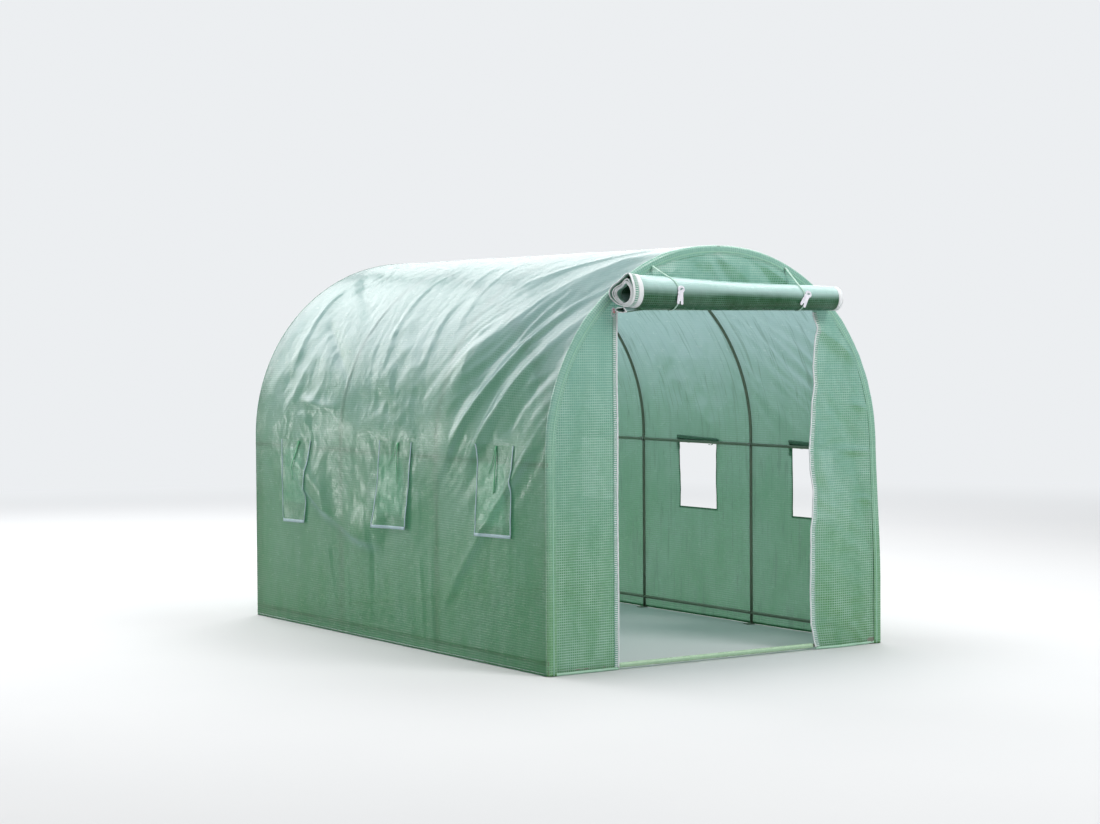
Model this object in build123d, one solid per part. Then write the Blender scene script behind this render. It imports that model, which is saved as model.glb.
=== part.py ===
from build123d import *
import math
import os

# Polytunnel greenhouse: four tube hoops under a fitted reinforced film cover, with a
# zipped door rolled up over the front opening and three windows in each side wall.
# Millimetres, +X right, +Y to the back, +Z up. The origin is on the ground, in the
# middle of the space that the tunnel and its rolled door take up.

# Overall size over the cover
tunnel_width = 2000
tunnel_height = 2000
tunnel_length = 3000
bay_count = 3

# Frame tubes, drawn with flats that touch the round, and the clearance between pieces
# that seat on each other
tube_diameter = 22
tube_wall = 0.8
tube_flats = 8
fit_gap = 0.3

# Hoops: straight legs, swaged into bends that meet at the crown
leg_height = 1000
crown_half_flat = 20
socket_depth = 35
foot_side = 48
foot_thickness = 3

# Rails, bolted to the hoops by their flattened ends
side_rail_drop = 25
ground_rail_height = 60
tab_length = 36
neck_length = 42
tab_corner = 5

# Cover film, drawn thicker than the real sheet
film_thickness = 2

# Door opening, its zips and the film wrapped round the threshold rail
door_left = -600
door_right = 580
gable_height = 300
zip_width = 12
zip_thickness = 3
zip_ground_gap = 12
zip_roll_gap = 6

# Door sheet, wound up on itself above the opening
roll_diameter = 156
roll_core_diameter = 48
roll_half_turns = 7
roll_length = 1270
roll_shift = 45
roll_lift = 65
roll_tail = 62

# Ties and toggles that hold the rolled door
tie_width = 9
tie_thickness = 2
tie_offset = 400
tie_rise = 132
tie_end_angle = -118
toggle_width = 38
toggle_length = 84
toggle_thickness = 3
toggle_corner = 7
toggle_ring_diameter = 20
toggle_ring_inset = 19
toggle_fork_width = 12
toggle_fork_depth = 30

# Window openings, one in the middle of each bay on both sides
window_width = 330
window_height = 363
window_drop = 7

# Window flaps: hanging down on the left side, rolled up on the right side
flap_side_margin = 10
flap_bottom_margin = 20
flap_rise = 43
flap_tie_width = 14
flap_tie_length = 170
flap_tie_thickness = 1.5
flap_roll_diameter = 36
flap_roll_core_diameter = 11
flap_roll_half_turns = 3
flap_roll_overhang = 14
flap_strap_width = 12
flap_strap_thickness = 1.5
flap_strap_end_angle = -125

# Distances that follow from the sizes above
tube_radius = tube_diameter / 2
door_height = tunnel_height - gable_height
roll_height = door_height + roll_lift
side_rail_height = leg_height - side_rail_drop
window_top = side_rail_height - window_drop
window_bottom = window_top - window_height
flap_top_height = side_rail_height + flap_rise
half_width = tunnel_width / 2
cover_to_hoop = film_thickness + fit_gap + tube_radius
hoop_x = half_width - cover_to_hoop
crown_z = tunnel_height - cover_to_hoop
bend_radius = min(hoop_x - crown_half_flat, crown_z - leg_height)
bend_x = hoop_x - bend_radius
bend_z = crown_z - bend_radius
tab_width = math.pi * tube_diameter / 2 - tube_wall
tab_thickness = 2 * tube_wall
spigot_radius = tube_radius - tube_wall - fit_gap
socket_radius = tube_radius - tube_wall
rail_inset = 2 * tube_radius + fit_gap
threshold_height = foot_thickness + fit_gap + tab_width / 2
roll_radius = roll_diameter / 2
front_reach = roll_diameter + tie_thickness + toggle_thickness + 3 * fit_gap
front_y = (front_reach - tunnel_length) / 2
back_y = front_y + tunnel_length
first_hoop_y = front_y + cover_to_hoop
last_hoop_y = back_y - cover_to_hoop
bay_length = (last_hoop_y - first_hoop_y) / bay_count
hoop_places = [first_hoop_y + number * bay_length for number in range(bay_count + 1)]
bay_middles = [place + bay_length / 2 for place in hoop_places[:-1]]
roll_y = front_y - fit_gap - roll_radius
flap_width = window_width + 2 * flap_side_margin


# Shared helpers


def tube_section(radius):
    """The outline of a tube, with flats that face along and across the tunnel."""
    turn = 180 / tube_flats
    return RegularPolygon(radius, tube_flats, major_radius=False, rotation=turn)


def bar(start, end, radius):
    """A tube's outer form between two points."""
    run = Vector(*end) - Vector(*start)
    section = Plane(origin=start, z_dir=run) * tube_section(radius)
    return extrude(section, amount=run.length)


def block(low, high):
    """A box given by its lowest and highest corners."""
    size = [top - bottom for bottom, top in zip(low, high)]
    return Pos(*low) * Box(*size, align=(Align.MIN, Align.MIN, Align.MIN))


def both_sides(shape):
    """A shape and its mirror image on the other side of the tunnel."""
    return [shape, mirror(shape, Plane.YZ)]


def write(name, shapes):
    """Write the solids of one sub-part to their own file."""
    solids = [solid for shape in shapes for solid in shape.solids()]
    piece = solids[0] if len(solids) == 1 else Compound(children=solids)
    piece.label = name
    export_step(piece, f"parts/{name}.step")


# Hoop legs and bends


def hoop_leg(place):
    """The right leg of a hoop, on its foot plate, with a swaged end at the top."""
    tube = bar((hoop_x, place, 0), (hoop_x, place, leg_height), tube_radius)
    spigot_top = leg_height + socket_depth - fit_gap
    spigot = bar((hoop_x, place, leg_height), (hoop_x, place, spigot_top), spigot_radius)
    plate_high_x = hoop_x + tube_radius
    plate_low_x = plate_high_x - foot_side
    plate_y = min(place - tube_radius, last_hoop_y + tube_radius - foot_side)
    if first_hoop_y < place < last_hoop_y:
        plate_y = place - foot_side / 2
    outline = Rectangle(foot_side, foot_side)
    outline = chamfer(outline.vertices(), tube_radius * (2 - math.sqrt(2)))
    corner = Pos(plate_low_x + foot_side / 2, plate_y + foot_side / 2, 0)
    plate = corner * extrude(outline, amount=foot_thickness)
    return tube + spigot + plate


def hoop_bend(place):
    """The right bend of a hoop, from the top of the leg to the crown."""
    section = Plane(origin=(hoop_x, place, bend_z)) * tube_section(tube_radius)
    bend = revolve(section, Axis((bend_x, place, bend_z), (0, -1, 0)), 90)
    if bend_z > leg_height:
        bend += bar((hoop_x, place, leg_height), (hoop_x, place, bend_z), tube_radius)
    if bend_x > 0:
        bend += bar((0, place, crown_z), (bend_x, place, crown_z), tube_radius)
    socket_top = leg_height + socket_depth
    return bend - bar((hoop_x, place, leg_height), (hoop_x, place, socket_top), socket_radius)


def hoop_bends(place):
    """Both bends of a hoop: the left one plugs into the right one at the crown."""
    right, left = both_sides(hoop_bend(place))
    socket = bar((0, place, crown_z), (socket_depth, place, crown_z), socket_radius)
    spigot = bar((0, place, crown_z), (socket_depth - fit_gap, place, crown_z), spigot_radius)
    return [right - socket, left + spigot]


# Rails with flattened ends


def ring_face(plane, half_x, half_y):
    """A tube outline pressed to the given half sizes between its flats."""
    spread = 1 / math.cos(math.pi / tube_flats)
    corners = []
    for number in range(tube_flats):
        angle = 2 * math.pi * (number + 0.5) / tube_flats
        corners.append((half_x * spread * math.cos(angle), half_y * spread * math.sin(angle)))
    return plane * make_face(Polyline(*corners, close=True))


def flattened_end():
    """A tube end pressed flat against one side: round at y = 0, flat up to its tip."""
    flat_offset = tube_radius - tab_thickness / 2
    flat_plane = Plane(origin=(flat_offset, neck_length, 0), z_dir=(0, -1, 0))
    round_section = ring_face(Plane.XZ, tube_radius, tube_radius)
    flat_section = ring_face(flat_plane, tab_thickness / 2, tab_width / 2)
    neck = loft([round_section, flat_section], ruled=True)
    outline = Rectangle(tab_length, tab_width, align=(Align.MIN, Align.CENTER))
    tip_corners = outline.vertices().group_by(Axis.X)[-1]
    outline = chamfer(tip_corners, tab_corner)
    tab_plane = Plane(origin=(tube_radius, neck_length, 0), x_dir=(0, 1, 0), z_dir=(-1, 0, 0))
    return neck + extrude(tab_plane * outline, amount=tab_thickness)


def rail(length):
    """A rail along Y with its middle at the origin and its flats on the +X side."""
    half_round = length / 2 - neck_length - tab_length
    end = Pos(0, half_round, 0) * flattened_end()
    tube = bar((0, -half_round, 0), (0, half_round, 0), tube_radius)
    return tube + end + mirror(end, Plane.XZ)


long_rail_length = last_hoop_y - first_hoop_y + tube_diameter
cross_rail_length = 2 * (hoop_x + tube_radius)
long_rail = Pos(0, (front_y + back_y) / 2, 0) * rail(long_rail_length)
cross_rail = Rot(0, 0, 90) * rail(cross_rail_length)


# Cover


def arch_face(inset, ground):
    """The end outline of the tunnel, moved inwards, standing on the given level."""
    side = half_width - inset
    top = tunnel_height - inset
    outline = Polyline((-side, ground), (-side, top), (side, top), (side, ground), close=True)
    face = make_face(outline)
    shoulder_radius = bend_radius + cover_to_hoop - inset
    return fillet(face.vertices().group_by(Axis.Y)[-1], shoulder_radius)


def arch_body(inset, ground):
    """The whole tunnel outline as a solid whose end edges are folded over the end hoops."""
    start = front_y + inset
    length = tunnel_length - 2 * inset
    body = extrude(Plane.XZ.offset(-start) * arch_face(inset, ground), amount=-length)
    end_faces = body.faces().filter_by(Axis.Y)
    floor_level = ground + fit_gap
    rims = [edge for edge in end_faces.edges() if edge.center().Z > floor_level]
    fold = (cover_to_hoop - inset) * (2 - math.sqrt(2))
    return chamfer(rims, fold)


def window_cuts(side):
    """Boxes that cut the windows through one side wall, -1 for left and 1 for right."""
    low_x, high_x = sorted((side * (half_width - cover_to_hoop), side * (half_width + fit_gap)))
    cuts = []
    for middle in bay_middles:
        low = (low_x, middle - window_width / 2, window_bottom)
        high = (high_x, middle + window_width / 2, window_top)
        cuts.append(block(low, high))
    return cuts


cover = arch_body(0, 0) - arch_body(film_thickness, -film_thickness)
door_cut_low = (door_left, front_y - fit_gap, -film_thickness)
door_cut = block(door_cut_low, (door_right, first_hoop_y, door_height))
cover -= [door_cut] + window_cuts(-1) + window_cuts(1)

seam_front = first_hoop_y
seam_back = last_hoop_y


def cover_part(low, high):
    """The part of the cover inside a box."""
    return cover & block(low, high)


front_left = (-half_width, front_y, 0)
front_right = (door_right, front_y, 0)
gable_low = (-half_width, front_y, door_height)
left_wall_low = (-half_width, seam_front, 0)
right_wall_low = (0, seam_front, 0)
roof_low = (-half_width, seam_front, bend_z)
back_low = (-half_width, seam_back, 0)
cover_pieces = {
    "front_left_panel": cover_part(front_left, (door_left, seam_front, door_height)),
    "front_right_panel": cover_part(front_right, (half_width, seam_front, door_height)),
    "front_gable_panel": cover_part(gable_low, (half_width, seam_front, tunnel_height)),
    "left_wall_cover": cover_part(left_wall_low, (0, seam_back, bend_z)),
    "right_wall_cover": cover_part(right_wall_low, (half_width, seam_back, bend_z)),
    "roof_cover": cover_part(roof_low, (half_width, seam_back, tunnel_height)),
    "back_end_panel": cover_part(back_low, (half_width, back_y, tunnel_height)),
}
threshold_y = first_hoop_y + rail_inset
sleeve_radius = tube_radius + fit_gap + film_thickness
sleeve_start = (door_left, threshold_y, threshold_height)
sleeve_end = (door_right, threshold_y, threshold_height)
sleeve_bore = bar(sleeve_start, sleeve_end, tube_radius + fit_gap)
threshold_sleeve = bar(sleeve_start, sleeve_end, sleeve_radius) - sleeve_bore


# Wound sheets


def wound_face(diameter, core_diameter, half_turns, tail):
    """The end view of a wound sheet: half circles that grow by half a pitch each.

    The centre line starts on the +X side of the core, turns anticlockwise and leaves
    the roll on its -X side, straight down.
    """
    core = core_diameter / 2 + film_thickness / 2
    last_radius = diameter / 2 - film_thickness / 2
    growth = (last_radius - core) / (half_turns - 1)
    edges = []
    for side in (-film_thickness / 2, film_thickness / 2):
        for turn in range(half_turns):
            centre = (growth * (turn % 2), 0)
            radius = core + turn * growth + side
            edges.append(CenterArc(centre, radius, 180 * (turn % 2), 180))
        tail_u = -last_radius - side
        edges.append(Line((tail_u, 0), (tail_u, -tail)))
    inner, outer = core - film_thickness / 2, core + film_thickness / 2
    edges.append(Line((inner, 0), (outer, 0)))
    edges.append(Line((-last_radius + film_thickness / 2, -tail), (-diameter / 2, -tail)))
    return make_face(edges)


def band_face(anchor, radius, end_angle, thickness):
    """The end view of a band from an anchor, tangent onto a roll and round its front."""
    middle = radius + thickness / 2
    distance = math.hypot(*anchor)
    touch = math.atan2(anchor[1], anchor[0]) - math.acos(middle / distance)
    out = (math.cos(touch), math.sin(touch))
    touch_angle = math.degrees(touch)
    edges = []
    starts = []
    ends = []
    for side in (-thickness / 2, thickness / 2):
        start = (anchor[0] + side * out[0], anchor[1] + side * out[1])
        contact = ((middle + side) * out[0], (middle + side) * out[1])
        edges.append(Line(start, contact))
        edges.append(CenterArc((0, 0), middle + side, touch_angle, end_angle - touch_angle))
        starts.append(start)
        last = math.radians(end_angle)
        ends.append(((middle + side) * math.cos(last), (middle + side) * math.sin(last)))
    edges.append(Line(*starts))
    edges.append(Line(*ends))
    return make_face(edges)


def door_plane(x):
    """Looks at the left end of the door roll: its +X points out of the front."""
    return Plane(origin=(x, roll_y, roll_height), x_dir=(0, -1, 0), z_dir=(-1, 0, 0))


roll_end = door_plane(roll_shift + roll_length / 2)
roll_profile = wound_face(roll_diameter, roll_core_diameter, roll_half_turns, roll_tail)
door_roll = extrude(roll_end * roll_profile, amount=roll_length)


def door_tie(x):
    """A tie from the gable, over the front of the roll and under it."""
    anchor = (-roll_radius + tie_thickness, tie_rise)
    face = band_face(anchor, roll_radius + fit_gap, tie_end_angle, tie_thickness)
    return extrude(door_plane(x + tie_width / 2) * face, amount=tie_width)


def door_toggle(x):
    """A toggle on the front of the tie: a ring at its top and a fork at its bottom."""
    outline = Rectangle(toggle_width, toggle_length)
    outline = chamfer(outline.vertices(), toggle_corner)
    ring_place = toggle_length / 2 - toggle_ring_inset
    outline -= Pos(0, ring_place) * Circle(toggle_ring_diameter / 2)
    fork_place = toggle_fork_depth / 2 - toggle_length / 2
    outline -= Pos(0, fork_place) * Rectangle(toggle_fork_width, toggle_fork_depth)
    outline -= Pos(0, toggle_fork_depth - toggle_length / 2) * Circle(toggle_fork_width / 2)
    rear_y = roll_y - roll_radius - fit_gap - tie_thickness - fit_gap
    front_view = Plane(origin=(x, rear_y, roll_height), x_dir=(1, 0, 0), z_dir=(0, -1, 0))
    return extrude(front_view * outline, amount=toggle_thickness)


def door_zip(edge_x, side):
    """The zip along one edge of the door opening, on the side panel's face."""
    low_x, high_x = sorted((edge_x, edge_x + side * zip_width))
    top = roll_height - roll_radius - zip_roll_gap
    low = (low_x, front_y - fit_gap - zip_thickness, zip_ground_gap)
    return block(low, (high_x, front_y - fit_gap, top))


# Window flaps and their ties


def hanging_flap(middle):
    """A closed flap on the outside of the left wall."""
    outer_x = -half_width - fit_gap - film_thickness
    low = (outer_x, middle - flap_width / 2, window_bottom - flap_bottom_margin)
    high = (outer_x + film_thickness, middle + flap_width / 2, flap_top_height)
    return block(low, high)


def hanging_tie(middle):
    """The loose tie in front of a closed flap."""
    outer_x = -half_width - 2 * fit_gap - film_thickness - flap_tie_thickness
    low = (outer_x, middle - flap_tie_width / 2, flap_top_height - flap_tie_length)
    high = (outer_x + flap_tie_thickness, middle + flap_tie_width / 2, flap_top_height)
    return block(low, high)


flap_roll_x = half_width + fit_gap + flap_roll_diameter / 2
flap_roll_height = flap_top_height - flap_roll_diameter


def flap_plane(y):
    """Looks at the near end of a flap roll: its +X points away from the right wall."""
    return Plane(origin=(flap_roll_x, y, flap_roll_height), x_dir=(1, 0, 0), z_dir=(0, -1, 0))


def flap_roll(middle):
    """An open flap, rolled up on the outside of the right wall above its window."""
    tail = 0.35 * flap_roll_diameter
    face = wound_face(flap_roll_diameter, flap_roll_core_diameter, flap_roll_half_turns, tail)
    length = flap_width + 2 * flap_roll_overhang
    return extrude(flap_plane(middle + length / 2) * face, amount=length)


def flap_strap(middle):
    """The strap that holds a rolled flap up."""
    rise = flap_roll_diameter
    anchor = (-flap_roll_diameter / 2 + flap_strap_thickness, rise)
    radius = flap_roll_diameter / 2 + fit_gap
    face = band_face(anchor, radius, flap_strap_end_angle, flap_strap_thickness)
    return extrude(flap_plane(middle + flap_strap_width / 2) * face, amount=flap_strap_width)


# Write every sub-part

os.makedirs("parts", exist_ok=True)

hoop_names = ["front", "middle_front", "middle_rear", "back"]
if bay_count != len(hoop_names) - 1:
    hoop_names = [f"number_{number + 1}" for number in range(bay_count + 1)]
for name, place in zip(hoop_names, hoop_places):
    write(f"{name}_hoop_legs", both_sides(hoop_leg(place)))
    write(f"{name}_hoop_bends", hoop_bends(place))

crown_rail_z = crown_z - rail_inset
side_rail_x = hoop_x - rail_inset
right_side_rail = Pos(side_rail_x, 0, side_rail_height) * long_rail
right_ground_rail = Pos(side_rail_x, 0, ground_rail_height) * long_rail
write("ridge_rail", [Pos(0, 0, crown_rail_z) * (Rot(0, -90, 0) * long_rail)])
for piece_name, right_piece in (
    ("side_rail", right_side_rail),
    ("ground_rail", right_ground_rail),
):
    right, left = both_sides(right_piece)
    write(f"right_{piece_name}", [right])
    write(f"left_{piece_name}", [left])
back_rail_y = last_hoop_y - rail_inset
write("back_ground_rail", [Pos(0, back_rail_y, threshold_height) * cross_rail])
front_cross_rail = mirror(cross_rail, Plane.XZ)
write("threshold_rail", [Pos(0, threshold_y, threshold_height) * front_cross_rail])

for name, piece in cover_pieces.items():
    write(name, [piece])
write("threshold_sleeve", [threshold_sleeve])

write("door_roll", [door_roll])
write("door_zip_left", [door_zip(door_left, -1)])
write("door_zip_right", [door_zip(door_right, 1)])
write("door_ties", [door_tie(x) for x in (-tie_offset, tie_offset)])
write("door_toggles", [door_toggle(x) for x in (-tie_offset, tie_offset)])

for number, middle in enumerate(bay_middles, start=1):
    write(f"left_window_flap_{number}", [hanging_flap(middle)])
write("right_window_rolls", [flap_roll(middle) for middle in bay_middles])
write("left_window_ties", [hanging_tie(middle) for middle in bay_middles])
write("right_window_straps", [flap_strap(middle) for middle in bay_middles])
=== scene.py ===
import math

import bpy
import numpy as np
from mathutils import Matrix, Vector


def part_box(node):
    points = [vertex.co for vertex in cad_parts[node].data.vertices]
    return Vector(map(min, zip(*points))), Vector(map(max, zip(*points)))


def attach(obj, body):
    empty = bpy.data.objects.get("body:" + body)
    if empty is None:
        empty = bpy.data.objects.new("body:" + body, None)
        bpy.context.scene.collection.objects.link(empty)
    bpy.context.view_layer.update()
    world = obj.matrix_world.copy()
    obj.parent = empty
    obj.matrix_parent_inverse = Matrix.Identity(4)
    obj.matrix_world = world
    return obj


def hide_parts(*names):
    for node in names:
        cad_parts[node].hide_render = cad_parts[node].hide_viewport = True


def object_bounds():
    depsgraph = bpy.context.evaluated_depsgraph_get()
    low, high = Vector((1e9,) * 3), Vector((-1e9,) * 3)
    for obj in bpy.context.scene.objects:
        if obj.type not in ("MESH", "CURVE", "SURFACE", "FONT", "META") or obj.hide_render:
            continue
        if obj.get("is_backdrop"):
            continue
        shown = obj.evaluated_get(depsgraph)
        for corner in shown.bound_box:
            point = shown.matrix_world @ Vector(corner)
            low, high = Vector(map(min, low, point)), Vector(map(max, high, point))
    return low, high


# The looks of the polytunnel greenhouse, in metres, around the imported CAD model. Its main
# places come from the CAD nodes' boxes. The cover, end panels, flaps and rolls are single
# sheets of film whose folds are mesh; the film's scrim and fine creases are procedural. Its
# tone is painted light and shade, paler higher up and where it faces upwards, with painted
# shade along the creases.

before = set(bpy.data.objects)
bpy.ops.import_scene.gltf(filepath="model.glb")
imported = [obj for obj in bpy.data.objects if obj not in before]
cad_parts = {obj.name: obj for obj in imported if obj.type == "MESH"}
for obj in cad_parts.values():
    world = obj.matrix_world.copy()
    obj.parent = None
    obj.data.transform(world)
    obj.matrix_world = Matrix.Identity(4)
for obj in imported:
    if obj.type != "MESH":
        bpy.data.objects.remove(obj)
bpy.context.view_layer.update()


def middle(node):
    """The middle of a CAD node's box."""
    low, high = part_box(node)
    return (low + high) / 2


# Places read from the CAD nodes

spring_z, top_z = (corner.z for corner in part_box("roof_cover"))
half_width = -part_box("left_wall_cover")[0].x
front_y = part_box("front_gable_panel")[0].y
shoulder_radius = top_z - spring_z
crown_half = half_width - shoulder_radius
hoop_names = ["front_hoop", "middle_front_hoop", "middle_rear_hoop", "back_hoop"]
hoop_y = [middle(name + "_bends").y for name in hoop_names]
hoop_span = hoop_y[-1] - hoop_y[0]
bends_low, bends_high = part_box("front_hoop_bends")
tube_radius = (bends_high.y - bends_low.y) / 2
hoop_x = bends_high.x - tube_radius
leg_top = bends_low.z
cover_to_hoop = half_width - hoop_x
door_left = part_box("front_left_panel")[1].x
door_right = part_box("front_right_panel")[0].x
door_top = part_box("front_gable_panel")[0].z
roll_low, roll_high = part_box("door_roll")
roll_radius = (roll_high.y - roll_low.y) / 2
roll_y = (roll_high.y + roll_low.y) / 2
roll_z = roll_high.z - roll_radius
rail_z = middle("left_side_rail").z

# The tubes are drawn as slim as they look, still touching the film

bar_radius = 0.008
slack = tube_radius - bar_radius
bar_x = hoop_x + slack
bar_y = [hoop_y[0] - slack, *hoop_y[1:-1], hoop_y[-1] + slack]

# Film: half its thickness, its bend over the end hoops and the lap behind that

film_half = 0.001
corner_radius = cover_to_hoop - film_half
quarter = math.pi / 2 * corner_radius
lap = 0.034
panel_gap = 0.0013
front_plane = hoop_y[0] - corner_radius + panel_gap
back_plane = hoop_y[-1] + corner_radius - panel_gap
panel_inset = 0.008
panel_half = half_width - panel_inset
arc_length = math.pi / 2 * shoulder_radius
arch_length = 2 * (spring_z + arc_length + crown_half)
# How far inwards the film may lie in the walls and over the ridge, clear of the rails
film_gap = 0.0012
side_rail_out = max(-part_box(f"left_{place}_rail")[0].x for place in ("side", "ground"))
wall_floor = side_rail_out + 2 * slack + film_gap - (half_width - film_half)
ridge_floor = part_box("ridge_rail")[1].z + 2 * slack + film_gap - (top_z - film_half)

# Windows: the left ones lie a little off the middle of their bays, and look smaller

bay_middles = [(a + b) / 2 for a, b in zip(hoop_y, hoop_y[1:])]
window_width, window_height = 0.33, 0.363
window_top = rail_z - 0.007
window_bottom = window_top - window_height
left_window_width, left_window_bottom = 0.245, 0.67
left_shifts = (-0.045, -0.075, 0.010)
left_middles = [place + shift for place, shift in zip(bay_middles, left_shifts)]

# Noise and folds


def noise(x, y, seed):
    """Smooth noise from about -1 to 1 over a plane, the same on every run."""
    count = 256
    directions = np.random.default_rng(seed).uniform(0, 2 * np.pi, (count, count))
    column, row = np.floor(x).astype(int), np.floor(y).astype(int)
    fx, fy = x - column, y - row
    wx = fx**3 * (fx * (6 * fx - 15) + 10)
    wy = fy**3 * (fy * (6 * fy - 15) + 10)

    def corner(dx, dy):
        angle = directions[(column + dx) % count, (row + dy) % count]
        return np.cos(angle) * (fx - dx) + np.sin(angle) * (fy - dy)

    low = corner(0, 0) * (1 - wx) + corner(1, 0) * wx
    high = corner(0, 1) * (1 - wx) + corner(1, 1) * wx
    return 1.5 * (low * (1 - wy) + high * wy)


def smooth(value, low, high):
    """0 below low, 1 above high and smooth between."""
    t = np.clip((value - low) / (high - low), 0, 1)
    return t * t * (3 - 2 * t)


def bell(value, centre, width):
    """1 at the centre, falling away to both sides."""
    return np.exp(-(((value - centre) / width) ** 2))


def dents(x, y, *families):
    """Smooth dents. A family is their height, how many to a metre in x and y, and a seed."""
    return sum(height * noise(x * per_x, y * per_y, seed) for height, per_x, per_y, seed in families)


def creases(x, y, *families):
    """Long creases at an angle to x. A family is their height, angle in degrees, size across
    and along, seed and sharpness."""
    total = 0.0
    for height, degrees, across, along, seed, sharp in families:
        c, s = math.cos(math.radians(degrees)), math.sin(math.radians(degrees))
        u, v = (x * c + y * s) / along, (-x * s + y * c) / across
        warp = 0.9 * noise(u * 1.3, v * 0.35, seed + 7)
        ridge = 1 - np.abs(noise(u, v + warp, seed)) ** sharp
        total = total + height * (ridge - 0.55)
    return total


def fold(x, y, start, end, height, width, bow=0.0, skew=0.2):
    """One ridge of film from start to end, steeper on one side where skew isn't 0."""
    run = np.subtract(end, start)
    length = math.hypot(*run)
    u = ((x - start[0]) * run[0] + (y - start[1]) * run[1]) / length**2
    d = (-(x - start[0]) * run[1] + (y - start[1]) * run[0]) / length
    d = d - bow * 4 * u * (1 - u)
    w = width * (0.75 + 0.5 * np.clip(u, 0, 1))
    w = w * np.where(d > 0, 1 + skew, 1 - skew)
    fade = smooth(u, -0.05, 0.18) * smooth(-u, -1.05, -0.72)
    return height * fade / np.cosh(1.7 * d / w)


# Meshes


def placed(name, data):
    """A new object in the scene."""
    made = bpy.data.objects.new(name, data)
    bpy.context.scene.collection.objects.link(made)
    return made


def joined(parts):
    """Points, faces and weave of several shapes as one."""
    points, faces, weaves, start = [], [], [], 0
    for part in parts:
        shape = np.asarray(part[0], float).reshape(-1, 3)
        points.append(shape)
        faces += [[int(i) + start for i in face] for face in part[1]]
        weaves.append(np.asarray(part[2], float).reshape(-1, 3) if len(part) > 2 else shape)
        start += len(shape)
    return np.concatenate(points), faces, np.concatenate(weaves)


def build(name, parts, material, slot, *nodes):
    """A mesh piece of some parts that rides on the model and stands for the nodes named. A
    part is its points, its faces and, for film and tape, each point's place in the cloth."""
    points, faces, weave = joined(parts)
    mesh = bpy.data.meshes.new(name)
    mesh.from_pydata(points.tolist(), [], faces)
    attribute = mesh.attributes.new("weave", "FLOAT_VECTOR", "POINT")
    attribute.data.foreach_set("vector", weave.astype(np.float32).ravel())
    mesh.polygons.foreach_set("use_smooth", [True] * len(mesh.polygons))
    mesh.materials.append(material)
    mesh.validate()
    piece = placed(name, mesh)
    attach(piece, "root")
    if nodes:
        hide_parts(*nodes)
    return piece


def woven(along, across, special=0.0):
    """Places in the cloth: along its width, across it, and what is special there."""
    return np.stack(np.broadcast_arrays(along, across, special), -1)


def grid_faces(rows, columns, keep=None, wrap=False, start=0):
    """Quads of a grid whose points run along its columns first."""
    last = columns if wrap else columns - 1
    row, column = np.meshgrid(np.arange(rows - 1), np.arange(last), indexing="ij")
    here, after = row * columns + column, row * columns + (column + 1) % columns
    quads = np.stack([here, after, after + columns, here + columns], axis=-1)
    quads = quads[keep] if keep is not None else quads.reshape(-1, 4)
    return quads + start


def capped(rings):
    """A closed solid through rings of points."""
    rows, columns = rings.shape[:2]
    faces = [face[::-1] for face in grid_faces(rows, columns, wrap=True).tolist()]
    faces.append(list(range(columns)))
    faces.append([(rows - 1) * columns + i for i in reversed(range(columns))])
    return rings.reshape(-1, 3), faces


def tube(path, radius, segments):
    """A round tube along a path, without twist. radius may change from point to point."""
    path = np.asarray(path, float)
    tangent = np.gradient(path, axis=0)
    tangent /= np.linalg.norm(tangent, axis=1)[:, None]
    guess = [0, 0, 1.0] if abs(tangent[0, 2]) < 0.9 else [0, 1.0, 0]
    side = np.cross(tangent[0], guess)
    sides = []
    for direction in tangent:
        side = side - direction * (side @ direction)
        side /= np.linalg.norm(side)
        sides.append(side)
    one = np.array(sides)[:, None]
    other = np.cross(tangent, sides)[:, None]
    angle = np.linspace(0, 2 * np.pi, segments, endpoint=False)
    ring = np.cos(angle)[:, None] * one + np.sin(angle)[:, None] * other
    return capped(path[:, None] + ring * np.broadcast_to(radius, len(path))[:, None, None])


def slab(lower, upper, weave, turned=False):
    """A closed thin solid between two grids of points, turned where upper lies inside."""
    rows, columns = lower.shape[:2]
    count = rows * columns
    faces = [face[::-1] for face in grid_faces(rows, columns).tolist()]
    faces += grid_faces(rows, columns, start=count).tolist()
    index = np.arange(count).reshape(rows, columns)
    rim = [*index[0, :], *index[1:, -1], *index[-1, -2::-1], *index[-2:0:-1, 0]]
    for a, b in zip(rim, rim[1:] + rim[:1]):
        faces.append([a, b, b + count, a + count])
    if turned:
        faces = [face[::-1] for face in faces]
    points = np.concatenate([lower.reshape(-1, 3), upper.reshape(-1, 3)])
    return points, faces, np.concatenate([weave.reshape(-1, 3)] * 2)


def plate(outlines, thickness, edge_round, matrix):
    """A flat moulded part from closed outlines, with rounded edges."""
    curve = bpy.data.curves.new("outline", "CURVE")
    curve.dimensions = "2D"
    curve.fill_mode = "BOTH"
    curve.extrude = thickness / 2 - edge_round
    curve.bevel_depth = edge_round
    curve.bevel_resolution = 2
    for outline_points in outlines:
        spline = curve.splines.new("POLY")
        spline.points.add(len(outline_points) - 1)
        for point, (x, y) in zip(spline.points, outline_points):
            point.co = (x, y, 0, 1)
        spline.use_cyclic_u = True
    holder = placed("outline", curve)
    bpy.context.view_layer.update()
    depsgraph = bpy.context.evaluated_depsgraph_get()
    mesh = bpy.data.meshes.new_from_object(holder.evaluated_get(depsgraph))
    bpy.data.objects.remove(holder)
    mesh.transform(matrix)
    points = [tuple(vertex.co) for vertex in mesh.vertices]
    faces = [tuple(polygon.vertices) for polygon in mesh.polygons]
    bpy.data.meshes.remove(mesh)
    return points, faces


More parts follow.
